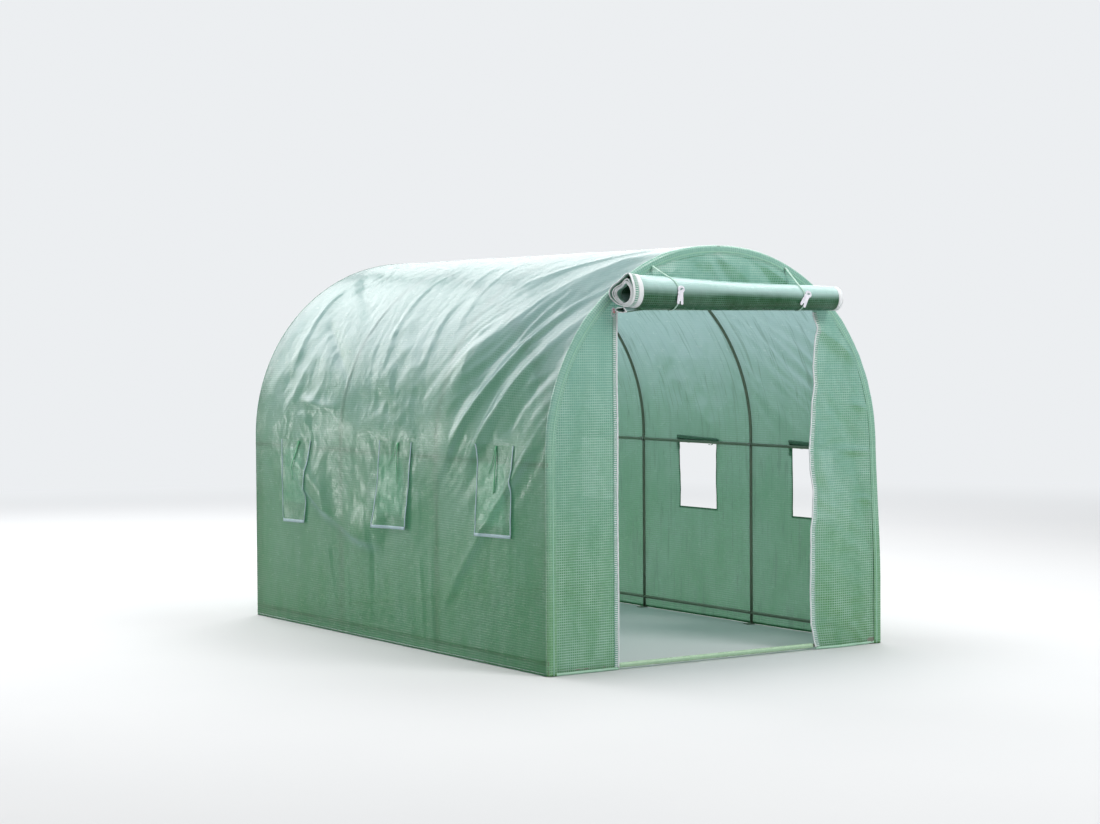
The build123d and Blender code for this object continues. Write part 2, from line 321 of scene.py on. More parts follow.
def arc_points(centre, radius, start, end, count, tilt=0.0):
    """Points of an arc of an ellipse, from angle to angle in degrees, tilted."""
    angles = np.radians(np.linspace(start, end, count))
    rx, ry = radius if isinstance(radius, tuple) else (radius, radius)
    x, y = rx * np.cos(angles), ry * np.sin(angles)
    c, s = math.cos(math.radians(tilt)), math.sin(math.radians(tilt))
    return list(zip(centre[0] + x * c - y * s, centre[1] + x * s + y * c))


def steps(marks, size):
    """Values through all the marks, evenly spaced between them and about size apart."""
    values = [marks[0]]
    for low, high in zip(marks, marks[1:]):
        count = max(1, round((high - low) / size))
        values += [low + (high - low) * (i + 1) / count for i in range(count)]
    return np.array(values)


def run_along(line):
    """The length along a line up to each of its points."""
    return np.concatenate([[0], np.cumsum(np.linalg.norm(np.diff(line, axis=0), axis=1))])


# The cover's surface: s runs up the left wall, over the crown and down the right wall,
# and v runs to the back, from 0 at the first hoop, with the laps round both end hoops.


def outline(s, inset):
    """x, z and the outward direction of the tunnel's outline at s."""
    left = s < arch_length / 2
    t = np.where(left, s, arch_length - s)
    a = np.clip((t - spring_z) / shoulder_radius, 0, math.pi / 2)
    flat = np.clip(t - spring_z - arc_length, 0, None)
    radius = shoulder_radius - inset
    x = -crown_half - radius * np.cos(a) + flat
    z = np.minimum(t, spring_z) + radius * np.sin(a)
    sign = np.where(left, 1.0, -1.0)
    return x * sign, z, -np.cos(a) * sign, np.sin(a)


# Between which lengths up a side each form of the cover sets in, and between which those of
# the walls and the gathers at the ground fade out
sag_zone, over_zone, roof_zone = (0.95, 1.5), (0.75, 1.6), (1.05, 1.25)
wall_zone, gather_zone = (0.7, 1.25), (0.0, 0.35)
# A form's middle up a side, and its width
belly_zone, pull_zone, dome_zone = (0.72, 0.42), (1.5, 0.55), (1.15, 0.62)
# Between which distances ahead of the tunnel's middle the first bay's folds set in
first_zone = (0.15, 0.55)
# How far beside a hoop's middle the film stays off it, how steeply it may fall from there, and
# between which distances from the ridge the floor over the ridge rail sets in
hoop_rest, steepest, ridge_zone = 0.006, 0.55, (0.17, 0.06)
# The relief's share over a hoop, and how fast the rest comes back beside it
hoop_share, bay_rise = 0.45, 4
roof_sag, wall_belly = 0.007, 0.010
deepest, lowest, highest = -0.024, -0.022, 0.034
big_dome, small_dome, dome_crease = 0.018, 0.008, 0.35
pull_creases = ((0.012, -47, 0.085, 0.90, 11, 0.8), (0.004, -62, 0.050, 0.50, 12, 0.9))
roof_creases = ((0.0035, 72, 0.075, 0.55, 21, 0.8), (0.0035, 38, 0.090, 0.70, 22, 0.9))
wall_creases = ((0.0016, 84, 0.060, 0.50, 31, 1.0),)
small_dents = ((0.0012, 17, 13, 41), (0.0007, 37, 29, 42))
# The folds that stand out on the left side: start and end as y and s, height, width, bow, skew
cover_folds = [
    ((-1.46, 2.34), (-0.28, 1.20), 0.027, 0.105, 0.01, -0.15),
    ((-1.44, 2.06), (-0.46, 1.08), -0.015, 0.060, 0.02, 0.0),
    ((-1.46, 1.98), (-0.36, 0.78), 0.023, 0.036, 0.02, 0.35),
    ((-1.46, 1.79), (-0.68, 0.89), 0.019, 0.028, 0.01, 0.25),
    ((-1.47, 1.27), (-1.10, 0.84), 0.010, 0.022, 0.01, 0.1),
    ((-1.45, 1.74), (-0.84, 1.02), 0.012, 0.024, 0.01, -0.1),
    ((-1.45, 1.56), (-0.88, 0.90), -0.012, 0.055, 0.00, 0.0),
    ((-1.46, 1.17), (-0.42, 0.18), 0.011, 0.030, 0.02, 0.2),
    ((-1.20, 2.42), (-0.50, 1.86), 0.008, 0.030, 0.02, 0.2),
    ((0.36, 2.16), (0.20, 1.32), 0.006, 0.024, 0.04, 0.1),
    ((0.02, 2.28), (-0.16, 1.45), 0.005, 0.034, -0.02, 0.2),
    ((-0.20, 2.30), (-0.36, 1.50), 0.004, 0.030, 0.02, -0.2),
    ((1.34, 2.14), (0.40, 1.58), -0.016, 0.070, 0.01, -0.35),
    ((0.62, 1.22), (-0.50, 1.28), -0.013, 0.130, 0.00, 0.20),
    ((1.16, 1.73), (0.44, 1.29), -0.015, 0.036, 0.01, -0.3),
    ((1.06, 1.24), (0.56, 1.20), 0.010, 0.034, 0.02, 0.0),
    ((1.30, 2.02), (1.22, 1.36), 0.010, 0.032, 0.02, 0.2),
    ((0.21, 0.58), (0.16, -0.06), -0.012, 0.020, 0.015, 0.4),
    ((1.14, 0.94), (0.12, 0.50), 0.036, 0.100, 0.10, -0.62),
    ((0.72, 0.50), (0.60, 0.02), 0.006, 0.024, 0.0, 0.2),
    ((-0.37, 0.58), (-0.38, -0.02), 0.006, 0.020, 0.0, 0.2),
    ((-0.26, 0.50), (-0.29, 0.02), 0.005, 0.020, 0.0, -0.2),
    ((0.50, 0.40), (0.46, -0.02), 0.005, 0.016, 0.01, 0.2),
]


def hoop_floor(y):
    """How far inwards the film may lie beside the hoops, as a negative height."""
    low = np.full(np.shape(y), deepest)
    for place in hoop_y:
        beside = np.maximum(np.abs(y - place) - hoop_rest, 0)
        low = np.maximum(low, film_gap / 2 - steepest * beside)
    return low


def cover_relief(y, s):
    """How far the cover stands out from its plain shape, from its folds and sag."""
    bay = np.sin(np.pi * np.clip((y - hoop_y[0]) / (hoop_span / 3), 0, 3)) ** 2
    left = s < arch_length / 2
    side = np.where(left, s, arch_length - s)
    relief = -roof_sag * bay * smooth(side, *sag_zone) + bay * dents(y, s, (0.006, 1.6, 1.1, 3))
    # The walls belly outwards a little between the hoops
    relief = relief + wall_belly * bay * bell(side, *belly_zone)
    # Long tension folds from the front arch down to the back across the first bay
    first_bay = smooth(-y, *first_zone)
    relief = relief + first_bay * bell(side, *pull_zone) * creases(y, s, *pull_creases)
    # Folds that run over the roof in the middle and the back bay
    relief = relief + (1 - first_bay) * smooth(side, *over_zone) * creases(y, s, *roof_creases)
    # Soft upright folds in the lower walls and gathers at the ground
    soft = creases(y, s, *wall_creases) + dents(y, s, (0.005, 2.5, 1.3, 33))
    relief = relief + (1 - smooth(side, *wall_zone)) * soft
    relief = relief + (1 - smooth(side, *gather_zone)) * dents(y, s, (0.003, 9, 2, 35))
    # Broad domes with creases between them that catch the light in patches
    domes = big_dome * (dome_crease - np.abs(noise(y * 3.1 + 3, s * 2.7, 37)))
    domes = domes + small_dome * (dome_crease - np.abs(noise(y * 7.5, s * 6.5 + 2, 38)))
    relief = relief + bay * bell(side, *dome_zone) * (1 - 0.8 * first_bay) * domes
    relief = relief + dents(y, s, *small_dents)
    relief = relief + np.where(left, sum(fold(y, s, *row) for row in cover_folds), 0)
    relief = relief * (hoop_share + (1 - hoop_share) * np.clip(bay * bay_rise, 0, 1))
    # The film stays outside the hoops and the rails
    rails_floor = wall_floor + (deepest - wall_floor) * smooth(side, *roof_zone)
    to_ridge = smooth(side, *(arch_length / 2 - reach for reach in ridge_zone))
    rails_floor = rails_floor + (ridge_floor - rails_floor) * to_ridge
    relief = np.maximum(relief, np.maximum(hoop_floor(y), rails_floor))
    return np.clip(relief, lowest, highest)


# The flare at the front corner: how far it reaches, at which height it sets in and is full,
# and its width along the tunnel
flare_reach, flare_high, flare_full, flare_width = 0.034, 1.15, 0.30, 0.45


def flare(x, y, z):
    """How far the film swings outwards to the right near the ground of the front corner."""
    share = np.clip((x - door_right) / (half_width - door_right), 0, 1)
    return flare_reach * share * smooth(-z, -flare_high, -flare_full) * bell(y, front_y, flare_width)


def cover_point(v, s, lift=0.0):
    """A point of the cover at v and s, lifted off its surface by lift."""
    v, s = np.broadcast_arrays(np.asarray(v, float), np.asarray(s, float))
    past = np.where(v < 0, -v, np.maximum(v - hoop_span, 0.0))
    angle = np.minimum(past / corner_radius, math.pi / 2)
    down = np.maximum(past - quarter, 0)
    to_end = np.where(v < 0, -1.0, 1.0)
    out = np.cos(angle)
    inset = cover_to_hoop - corner_radius * out + down
    y = np.clip(v, 0, hoop_span) + hoop_y[0] + to_end * corner_radius * np.sin(angle)
    x, z, nx, nz = outline(s, inset)
    relief = cover_relief(y, s) * out + lift
    x = x + nx * relief * out
    y = y + to_end * relief * np.sin(angle)
    return np.stack([x + flare(x, y, z), y, z + nz * relief * out], axis=-1)


# Materials


class Nodes:
    """Short calls that make the nodes of one material or world."""

    def __init__(self, owner, output="OutputMaterial"):
        owner.use_nodes = True
        self.owner, self.tree = owner, owner.node_tree
        self.tree.nodes.clear()
        self.out = self.node(output)

    def node(self, kind, settings=None, **inputs):
        made = self.tree.nodes.new("ShaderNode" + kind)
        for key, value in (settings or {}).items():
            setattr(made, key, value)
        for key, value in inputs.items():
            self.put(made.inputs[key.replace("_", " ")], value)
        return made

    def put(self, socket, value):
        if isinstance(value, bpy.types.NodeSocket):
            self.tree.links.new(value, socket)
        elif isinstance(value, tuple) and len(value) == 3 and socket.type == "RGBA":
            socket.default_value = (*value, 1)
        else:
            socket.default_value = value

    def math(self, operation, *values):
        made = self.node("Math", {"operation": operation})
        for socket, value in zip(made.inputs, values):
            self.put(socket, value)
        return made.outputs[0]

    def times(self, first, second):
        return self.math("MULTIPLY", first, second)

    def noise(self, vector, scale, detail=2.0, roughness=0.5):
        made = self.node("TexNoise", Vector=vector, Scale=scale, Detail=detail, Roughness=roughness)
        return made.outputs["Fac"]

    def scaled(self, vector, size, turn=0.0):
        return self.node("Mapping", Vector=vector, Scale=size, Rotation=(0, 0, turn)).outputs["Vector"]

    def span(self, value, low, high, to_low=0.0, to_high=1.0):
        made = self.node("MapRange", {"interpolation_type": "SMOOTHSTEP"})
        for socket, given in zip(made.inputs, (value, low, high, to_low, to_high)):
            self.put(socket, given)
        return made.outputs[0]

    def mix(self, share, first, second):
        made = self.node("Mix", {"data_type": "RGBA"}, Factor=share)
        self.put(made.inputs[6], first)
        self.put(made.inputs[7], second)
        return made.outputs[2]

    def blend(self, share, first, second):
        """A shader between two others."""
        made = self.node("MixShader", Fac=share)
        self.put(made.inputs[1], first.outputs[0])
        self.put(made.inputs[2], second.outputs[0])
        return made

    def bump(self, height, distance, strength, **before):
        return self.node("Bump", Height=height, Distance=distance, Strength=strength, **before).outputs[0]

    def lines(self, coordinate, spacing, width):
        """1 on lines that far apart, 0 between them."""
        off = self.math("PINGPONG", self.times(coordinate, 1 / spacing), 0.5)
        edge = width / spacing / 2
        return self.span(off, edge * 0.6, edge * 1.4, 1.0, 0.0)

    def weave(self):
        made = self.node("Attribute", {"attribute_name": "weave"})
        parts = self.node("SeparateXYZ", Vector=made.outputs["Vector"])
        return made.outputs["Vector"], *parts.outputs

    def object_place(self):
        return self.node("TexCoord").outputs["Object"]

    def backdrop_rays(self):
        """1 for the camera's rays and those of gloss and glass, which show the backdrop."""
        rays = self.node("LightPath").outputs
        glossy = self.math("MAXIMUM", rays["Is Glossy Ray"], rays["Is Transmission Ray"])
        return self.math("MAXIMUM", rays["Is Camera Ray"], glossy)

    def finish(self, shader):
        self.tree.links.new(shader.outputs[0], self.out.inputs["Surface"])
        return self.owner


def rgb(red, green, blue):
    """A colour given as screen values from 0 to 255."""
    return tuple(
        c / 12.92 if c <= 0.04045 else ((c + 0.055) / 1.055) ** 2.4
        for c in (red / 255, green / 255, blue / 255)
    )


scrim_pitch, rib_width, crossing_width = 0.012, 0.0040, 0.0036
# Two sets of long thin creases, drawn as painted shade along their lines: noise scale along and across,
# turn, and where patches start
streak_sets = (((30, 1.2, 1), 0.02, 0.45), ((46, 1.8, 1), -0.02, 0.48))


def film(name, low, high, pale, creasing=0.2, see_through=0.09, through=0.42, gloss=0.22, tall=0.35,
         up=0.75, under=0.0, upright=(0.0, 0.75), light_both_faces=True, threads=(0.04, 0.22), ior=1.55,
         sheen=0.08):
    """Reinforced film: a scrim grid, rubbed patches and fine creases along its width, with painted
    shade along the creases. Its tone is painted light and shade, as if lit from above: it runs from
    low, the painted shade, to high, the painted light, tall as a share of its height and up as a
    share of how far it faces upwards, between the two upright values. Weave z is 0 to 1 where the
    film lies in two layers, which paints it paler, and below 0 where its creases show most."""
    n = Nodes(bpy.data.materials.new(name))
    vector, along, across, special = n.weave()
    doubled_lightened = n.math("MAXIMUM", special, 0.0)
    creased = n.math("MAXIMUM", n.times(special, -1.0), creasing)
    crossing = n.times(n.lines(along, scrim_pitch, crossing_width), 0.75)
    grid = n.math("MAXIMUM", n.lines(across, scrim_pitch, rib_width), crossing)
    worn = n.noise(n.scaled(vector, (9, 3.5, 1)), 1.0, 3.0, 0.6)
    cloudy = n.noise(n.scaled(vector, (2.6, 2.1, 1)), 1.0, 4.0, 0.6)
    rubbed = n.noise(n.scaled(vector, (14, 26, 1), 0.5), 1.0, 5.0, 0.7)
    patches = n.noise(n.scaled(vector, (26, 3.2, 1)), 1.0, 3.0)
    streaks = []
    for size, turn, low_patch in streak_sets:
        contour = n.noise(n.scaled(vector, size, turn), 1.0, 1.0, 0.35)
        off_line = n.math("ABSOLUTE", n.math("SUBTRACT", contour, 0.5))
        line = n.span(off_line, 0.006, 0.030, 1.0, 0.0)
        streaks.append(n.times(line, n.span(patches, low_patch, low_patch + 0.13)))
    streak = n.times(n.math("MAXIMUM", *streaks), creased)
    # Painted light and shade: its tone pales with height and where it faces upwards, as if lit from above,
    # and varies at random in cloudy patches
    place = n.node("SeparateXYZ", Vector=n.object_place())
    facing = n.node("SeparateXYZ", Vector=n.node("NewGeometry").outputs["Normal"]).outputs[2]
    if light_both_faces:
        facing = n.math("ABSOLUTE", facing)
    level = n.times(n.span(place.outputs[2], 0.0, 1.7), tall)
    level = n.math("ADD", level, n.span(facing, *upright, -under, up))
    level = n.math("ADD", level, n.times(n.math("SUBTRACT", cloudy, 0.5), 0.4))
    base = n.mix(level, low, high)
    # Threads, rubbed spots, painted shade along the creases, and film in two layers painted paler, partly
    # as painted light
    # The creases' colour is painted shade: the low colour made much darker
    crease_shade = tuple(c * 0.4 for c in low)
    base = n.mix(n.times(grid, n.span(worn, 0.3, 0.7, *threads)), base, pale)
    base = n.mix(n.times(n.span(rubbed, 0.62, 0.8), 0.12), base, pale)
    base = n.mix(n.times(streak, 0.36), base, crease_shade)
    # Where the film lies in two layers it is painted paler: partly its own two layers, partly painted light
    # over the shade of the hoop behind it
    base = n.mix(n.times(doubled_lightened, 0.5), base, pale)
    # The relief of threads and grain, and of crumples
    height = n.math("ADD", grid, n.times(n.noise(vector, 420.0), 0.25))
    crumple = n.noise(n.scaled(vector, (19, 13, 1), 0.6), 1.0, 3.0)
    crumple = n.math("ADD", crumple, n.times(streak, 0.05))
    normal = n.bump(crumple, 0.006, 0.30, Normal=n.bump(height, 0.0005, 0.55))
    rough = n.span(rubbed, 0.3, 0.75, gloss, gloss + 0.12)
    skin = n.node("BsdfPrincipled", Base_Color=base, Roughness=rough, Normal=normal, IOR=ior,
                  Sheen_Weight=sheen, Sheen_Roughness=0.4)
    shine = n.node("BsdfTranslucent", Color=n.mix(0.25, base, high), Normal=normal)
    body = n.blend(through, skin, shine)
    if not see_through:
        return n.finish(body)
    clear = n.node("BsdfTransparent", Color=tuple(0.35 + 0.65 * c for c in high))
    return n.finish(n.blend(see_through, body, clear))


def steel(name, colour, worn):
    """Coated steel tube, a little dusty, with faint drawing lines."""
    n = Nodes(bpy.data.materials.new(name))
    place = n.object_place()
    dust = n.noise(place, 9.0, 5.0, 0.6)
    base = n.mix(n.span(dust, 0.4, 0.75, 0.0, 0.6), colour, worn)
    normal = n.bump(n.noise(n.scaled(place, (140, 140, 12)), 1.0, 3.0), 0.0002, 0.4)
    rough = n.span(dust, 0.3, 0.8, 0.34, 0.55)
    return n.finish(
        n.node("BsdfPrincipled", Base_Color=base, Roughness=rough, Normal=normal, Metallic=0.55)
    )


def plastic(name, colour, shade, rough=0.35):
    """Moulded plastic with faint flow marks."""
    n = Nodes(bpy.data.materials.new(name))
    place = n.object_place()
    base = n.mix(n.span(n.noise(place, 60.0, 3.0), 0.35, 0.7), colour, shade)
    normal = n.bump(n.noise(place, 900.0), 0.0001, 0.3)
    return n.finish(
        n.node("BsdfPrincipled", Base_Color=base, Roughness=rough, Normal=normal, Coat_Weight=0.2)
    )


def tape(name, colour, shade, pitch=0.003):
    """Woven tape or webbing with a ribbed face."""
    n = Nodes(bpy.data.materials.new(name))
    vector, along, across, _ = n.weave()
    rib = n.lines(along, pitch, pitch * 0.55)
    warp = n.lines(across, pitch * 1.4, pitch * 0.8)
    base = n.mix(n.span(n.noise(vector, 22.0, 4.0), 0.4, 0.75, 0.0, 0.7), colour, shade)
    base = n.mix(n.times(rib, 0.3), base, shade)
    normal = n.bump(n.math("ADD", rib, n.times(warp, 0.6)), 0.0003, 0.7)
    skin = n.node("BsdfPrincipled", Base_Color=base, Roughness=0.6, Normal=normal, Sheen_Weight=0.3)
    return n.finish(n.blend(0.2, skin, n.node("BsdfTranslucent", Color=base, Normal=normal)))


# The films' low colours are painted shade and their high colours painted light and sheen: each film is
# painted paler higher up and where it faces upwards, as if lit from above, the end panels most by how their
# folds face
panel_green_shaded, panel_green_lit = rgb(84, 149, 76), rgb(131, 184, 166)
panel_painted_light = {"tall": 0.78, "up": 0.8, "under": 0.3, "upright": (-0.28, 0.28), "light_both_faces": False}
cover_green = film(
    "cover_film", rgb(52, 131, 70), rgb(148, 178, 178), rgb(190, 216, 208), creasing=0.03, gloss=0.18
)
panel_green = film(
    "end_panel_film", panel_green_shaded, panel_green_lit, rgb(206, 234, 222), creasing=0.08, threads=(0.32, 0.76),
    **panel_painted_light,
)
facing_green = film(
    "facing_film", panel_green_shaded, panel_green_lit, rgb(196, 226, 212), creasing=0.0, see_through=0.0,
    through=0.2, threads=(0.2, 0.5), **panel_painted_light,
)
# The door roll is painted pale on top, as painted light from above, and deep green underneath, as painted
# shade, by how far it faces upwards
roll_green_painted_light = film(
    "door_film", rgb(4, 72, 26), rgb(182, 214, 210), rgb(140, 190, 172), creasing=0.1, see_through=0.0,
    through=0.14, gloss=0.2, tall=0.0, up=1.0, upright=(-0.25, 0.6), light_both_faces=False,
    threads=(0.05, 0.32), ior=1.36, sheen=0.0,
)
flap_roll_green = film(
    "flap_roll_film", rgb(84, 130, 102), rgb(110, 150, 130), rgb(150, 190, 168), 0.1, 0.03, 0.3
)
flap_green = film(
    "flap_film", rgb(58, 142, 88), rgb(140, 186, 176), rgb(192, 220, 212), 0.05, 0.06, 0.34
)
sleeve_film = film(
    "sleeve_film", rgb(168, 206, 172), rgb(196, 224, 190), rgb(214, 236, 206), 0.2, 0.0, 0.15
)
tube_steel = steel("frame_tube_steel", rgb(112, 120, 106), rgb(138, 142, 128))
zinc = steel("zinc_fastener", rgb(160, 162, 158), rgb(120, 120, 114))
white_plastic = plastic("white_plastic", rgb(230, 228, 236), rgb(212, 212, 222))
red_plastic = plastic("red_pull_tab", rgb(214, 148, 146), rgb(200, 128, 128), 0.5)
white_tape = tape("white_zip_tape", rgb(250, 252, 254), rgb(236, 242, 244), 0.0024)
teal_tape = tape("teal_zip_tape", rgb(122, 178, 156), rgb(146, 196, 176), 0.004)
hem_tape = tape("hem_binding", rgb(190, 230, 206), rgb(164, 212, 184))
seam_tape = tape("seam_binding", rgb(156, 204, 180), rgb(144, 196, 170))
blue_tape = tape("flap_binding", rgb(184, 210, 218), rgb(162, 198, 202))
tie_webbing = tape("tie_webbing", rgb(196, 228, 214), rgb(152, 196, 178))
green_strap = tape("green_strap", rgb(38, 160, 100), rgb(56, 170, 114))

# Cover

cover_mesh, corner_mesh, lap_mesh = 0.0152, 0.003, 0.007
v_marks = [0, *(hoop - hoop_y[0] for hoop in hoop_y[1:])]
for places, width in ((bay_middles, window_width), (left_middles, left_window_width)):
    for place in places:
        v_marks += [place - hoop_y[0] - width / 2, place - hoop_y[0] + width / 2]
v_stretches = [
    steps([-quarter - lap, -quarter], lap_mesh),
    steps([-quarter, 0], corner_mesh),
    steps(sorted(v_marks), cover_mesh),
    steps([hoop_span, hoop_span + quarter], corner_mesh),
    steps([hoop_span + quarter, hoop_span + quarter + lap], lap_mesh),
]
v_rows = np.unique(np.concatenate(v_stretches).round(6))
s_marks = [0, window_bottom, left_window_bottom, window_top, spring_z, arch_length / 2]
s_marks = s_marks + [arch_length - mark for mark in reversed(s_marks[:-1])]
s_columns = steps(s_marks, cover_mesh)


def in_window(v, s):
    """True inside one of the window openings of either side wall."""
    side = np.minimum(s, arch_length - s)
    left = s < arch_length / 2
    found = np.zeros(np.shape(v), bool)
    for place, left_place in zip(bay_middles, left_middles):
        found |= ~left & (np.abs(v + hoop_y[0] - place) < window_width / 2)
        found |= left & (np.abs(v + hoop_y[0] - left_place) < left_window_width / 2)
    return found & (side > np.where(left, left_window_bottom, window_bottom)) & (side < window_top)


v_grid, s_grid = np.meshgrid(v_rows, s_columns, indexing="ij")
# The laps round the end hoops lie in two layers, which the film paints paler: partly the two layers, partly
# painted light over the hoop's shade
lap_start, lap_full = -0.004, 0.006
doubled_lightened = smooth(-v_grid, lap_start, lap_full)
doubled_lightened = doubled_lightened + smooth(v_grid, hoop_span + lap_start, hoop_span + lap_full)
# The right side shows long thin creases, painted as lines of shade, that fade out towards the ridge
creased_from, creased_full = arch_length * 0.53, arch_length * 0.66
creased_side = smooth(s_grid, creased_from, creased_full)
v_face = (v_grid[:-1, :-1] + v_grid[1:, 1:]) / 2
s_face = (s_grid[:-1, :-1] + s_grid[1:, 1:]) / 2
cover_faces = grid_faces(len(v_rows), len(s_columns), ~in_window(v_face, s_face))[:, ::-1]
cover_weave = woven(v_grid, s_grid, doubled_lightened - creased_side)
cover = build(
    "cover", [(cover_point(v_grid, s_grid), cover_faces, cover_weave)], cover_green, "cover_film",
    "roof_cover", "left_wall_cover", "right_wall_cover",
)

# End panels


def half_at(z, inset):
    """Half the width of the tunnel's outline at a height."""
    radius = shoulder_radius - inset
    rise = np.clip(z - spring_z, 0, radius)
    arc = crown_half + np.sqrt(np.maximum(radius**2 - rise**2, 0))
    return np.where(z <= spring_z, half_width - inset, arc)


# Between which distances from the end hoops the relief of the end films sets in
rim_zone = (0.02, 0.09)


def rim_fade(x, z):
    """0 at the end hoop and 1 away from it."""
    beyond = np.maximum(np.abs(x) - crown_half, 0), np.maximum(z - spring_z, 0)
    depth = np.where(z > spring_z, shoulder_radius - np.hypot(*beyond), half_width - np.abs(x))
    return smooth(depth, *rim_zone)


panel_lowest, front_highest, back_highest = -0.016, 0.022, 0.020
# Folds of the film over the door: start, end, height, width
gable_folds = [
    ((-0.06, 2.0), (0.30, 1.74), 0.018, 0.045),
    ((0.16, 1.98), (0.54, 1.74), 0.016, 0.040),
    ((-0.26, 1.96), (-0.04, 1.80), -0.014, 0.040),
    ((0.08, 2.00), (0.44, 1.72), -0.012, 0.030),
    ((0.34, 1.94), (0.66, 1.72), -0.012, 0.036),
    ((-0.44, 1.90), (-0.20, 1.80), 0.010, 0.040),
]
gable_creases = ((0.012, -50, 0.085, 0.50, 71, 1.0), (0.005, 35, 0.050, 0.35, 72, 1.0))
# The gable's belly, its folds' bow, and how far off the door's top it takes over
gable_belly, gable_bow, gable_blend = 0.006, 0.01, 0.05
# Folds of the film right of the door: start, end, height, width
panel_folds = [
    ((0.52, 1.640), (1.02, 1.370), 0.020, 0.036),
    ((0.66, 1.680), (0.96, 1.520), 0.008, 0.030),
    ((0.70, 1.700), (0.80, 1.540), -0.010, 0.020),
    ((0.99, 0.970), (0.76, 0.998), 0.006, 0.014),
    ((1.00, 1.180), (0.82, 1.230), 0.005, 0.018),
    ((0.99, 0.720), (0.86, 0.750), 0.005, 0.014),
]
right_creases = ((0.003, -52, 0.100, 0.50, 62, 1.0), (0.0015, 10, 0.035, 0.25, 63, 1.0))
# Where the two creases between its facets run: heights and x
crease_lines = (
    ((0.0, 0.6, 1.2), (0.710, 0.712, 0.600)), ((0.1, 0.5, 1.0, 1.3), (0.990, 0.935, 0.835, 0.770)),
)
# How far the first facet leads out, the second back and the last out again, and at which
# height they set in and are full
facet_out, facet_back, facet_last, facet_high, facet_full = 0.016, 0.026, 0.018, 1.40, 0.85


def panel_flutes(x, z):
    """Three broad facets of the film right of the door, from its flare at the ground."""
    crease_one, crease_two = (np.interp(z, *line) for line in crease_lines)
    rise = np.clip((x - door_right) / (crease_one - door_right), 0, 1)
    fall = np.clip((x - crease_one) / (crease_two - crease_one), 0, 1)
    last = np.clip((x - crease_two) / np.maximum(half_width - crease_two, 0.01), 0, 1)
    facets = facet_out * rise - facet_back * fall + facet_last * last
    return facets * smooth(-z, -facet_high, -facet_full)


def front_relief(x, z):
    """How far the front film stands out from the plane of the front hoop."""
    away = rim_fade(x, z)
    calm = dents(x, z, (0.0035, 9, 1.6, 51), (0.003, 3, 1.1, 52))
    calm = calm + creases(x, z, (0.0022, 80, 0.050, 0.50, 53, 1.0))
    wavy = dents(x, z, (0.006, 5, 2.3, 61)) + creases(x, z, *right_creases)
    pulled = panel_flutes(x, z) + sum(fold(x, z, *row) for row in panel_folds)
    panel = np.where(x < (door_left + door_right) / 2, calm, wavy + pulled)
    arch = gable_belly + creases(x, z, *gable_creases)
    arch = arch + sum(fold(x, z, *row, bow=gable_bow) for row in gable_folds)
    gable = smooth(z, door_top - gable_blend, door_top + gable_blend)
    relief = away * (panel * (1 - gable) + arch * gable + dents(x, z, (0.0007, 31, 27, 81)))
    return np.clip(relief, panel_lowest, front_highest)


# How far the door's right edge lies off its line: heights and shifts
right_sway = np.array([
    (0.00, 0.019), (0.05, 0.005), (0.13, -0.014), (0.30, -0.018), (0.60, -0.014), (0.68, -0.004),
    (0.80, 0.001), (0.90, -0.018), (1.00, -0.022), (1.12, -0.010), (1.23, -0.005), (1.32, 0.010),
    (1.41, 0.000), (1.52, 0.008), (1.58, 0.018), (1.67, 0.000), (1.70, 0.000),
])


# The left edge's wave and its scale, how far off the walls both waves end, how far inside the
# door they begin, and between which distances from the door's top the left one sets in
left_wave, left_scale, wall_calm, edge_step, top_zone = 0.004, 2.2, 0.06, 0.01, (0.02, 0.2)


def edge_sway(x, z):
    """The side to side wave of the door's edges, which fades out to the walls."""
    calm_from = half_width - wall_calm
    right = np.interp(z, *right_sway.T) * smooth(x, door_right - edge_step, door_right)
    right = right * (1 - smooth(x, door_right, calm_from))
    left = left_wave * noise(z * left_scale, np.full(z.shape, 0.5), 92)
    left = left * smooth(-x, -door_left - edge_step, -door_left)
    left = left * (1 - smooth(-x, -door_left, calm_from))
    return right + left * smooth(door_top - z, *top_zone)


def front_point(x, z, lift=0.0):
    """A point of the front film, lifted off it by lift."""
    x, z = np.broadcast_arrays(np.asarray(x, float), np.asarray(z, float))
    y = front_plane - front_relief(x, z) - lift
    return np.stack([x + edge_sway(x, z) + flare(x, y, z), y, z], axis=-1)


side_mesh, middle_mesh, upward_mesh = 0.013, 0.015, 0.0145
left_x = steps([-panel_half, door_left], side_mesh)
middle_x = steps([door_left, door_right], middle_mesh)
right_x = steps([door_right, panel_half], side_mesh)
x_columns = np.concatenate([left_x, middle_x[1:], right_x[1:]])
z_rows = steps([0.0, door_top, top_z - panel_inset], upward_mesh)
x_grid, z_grid = np.meshgrid(x_columns, z_rows)
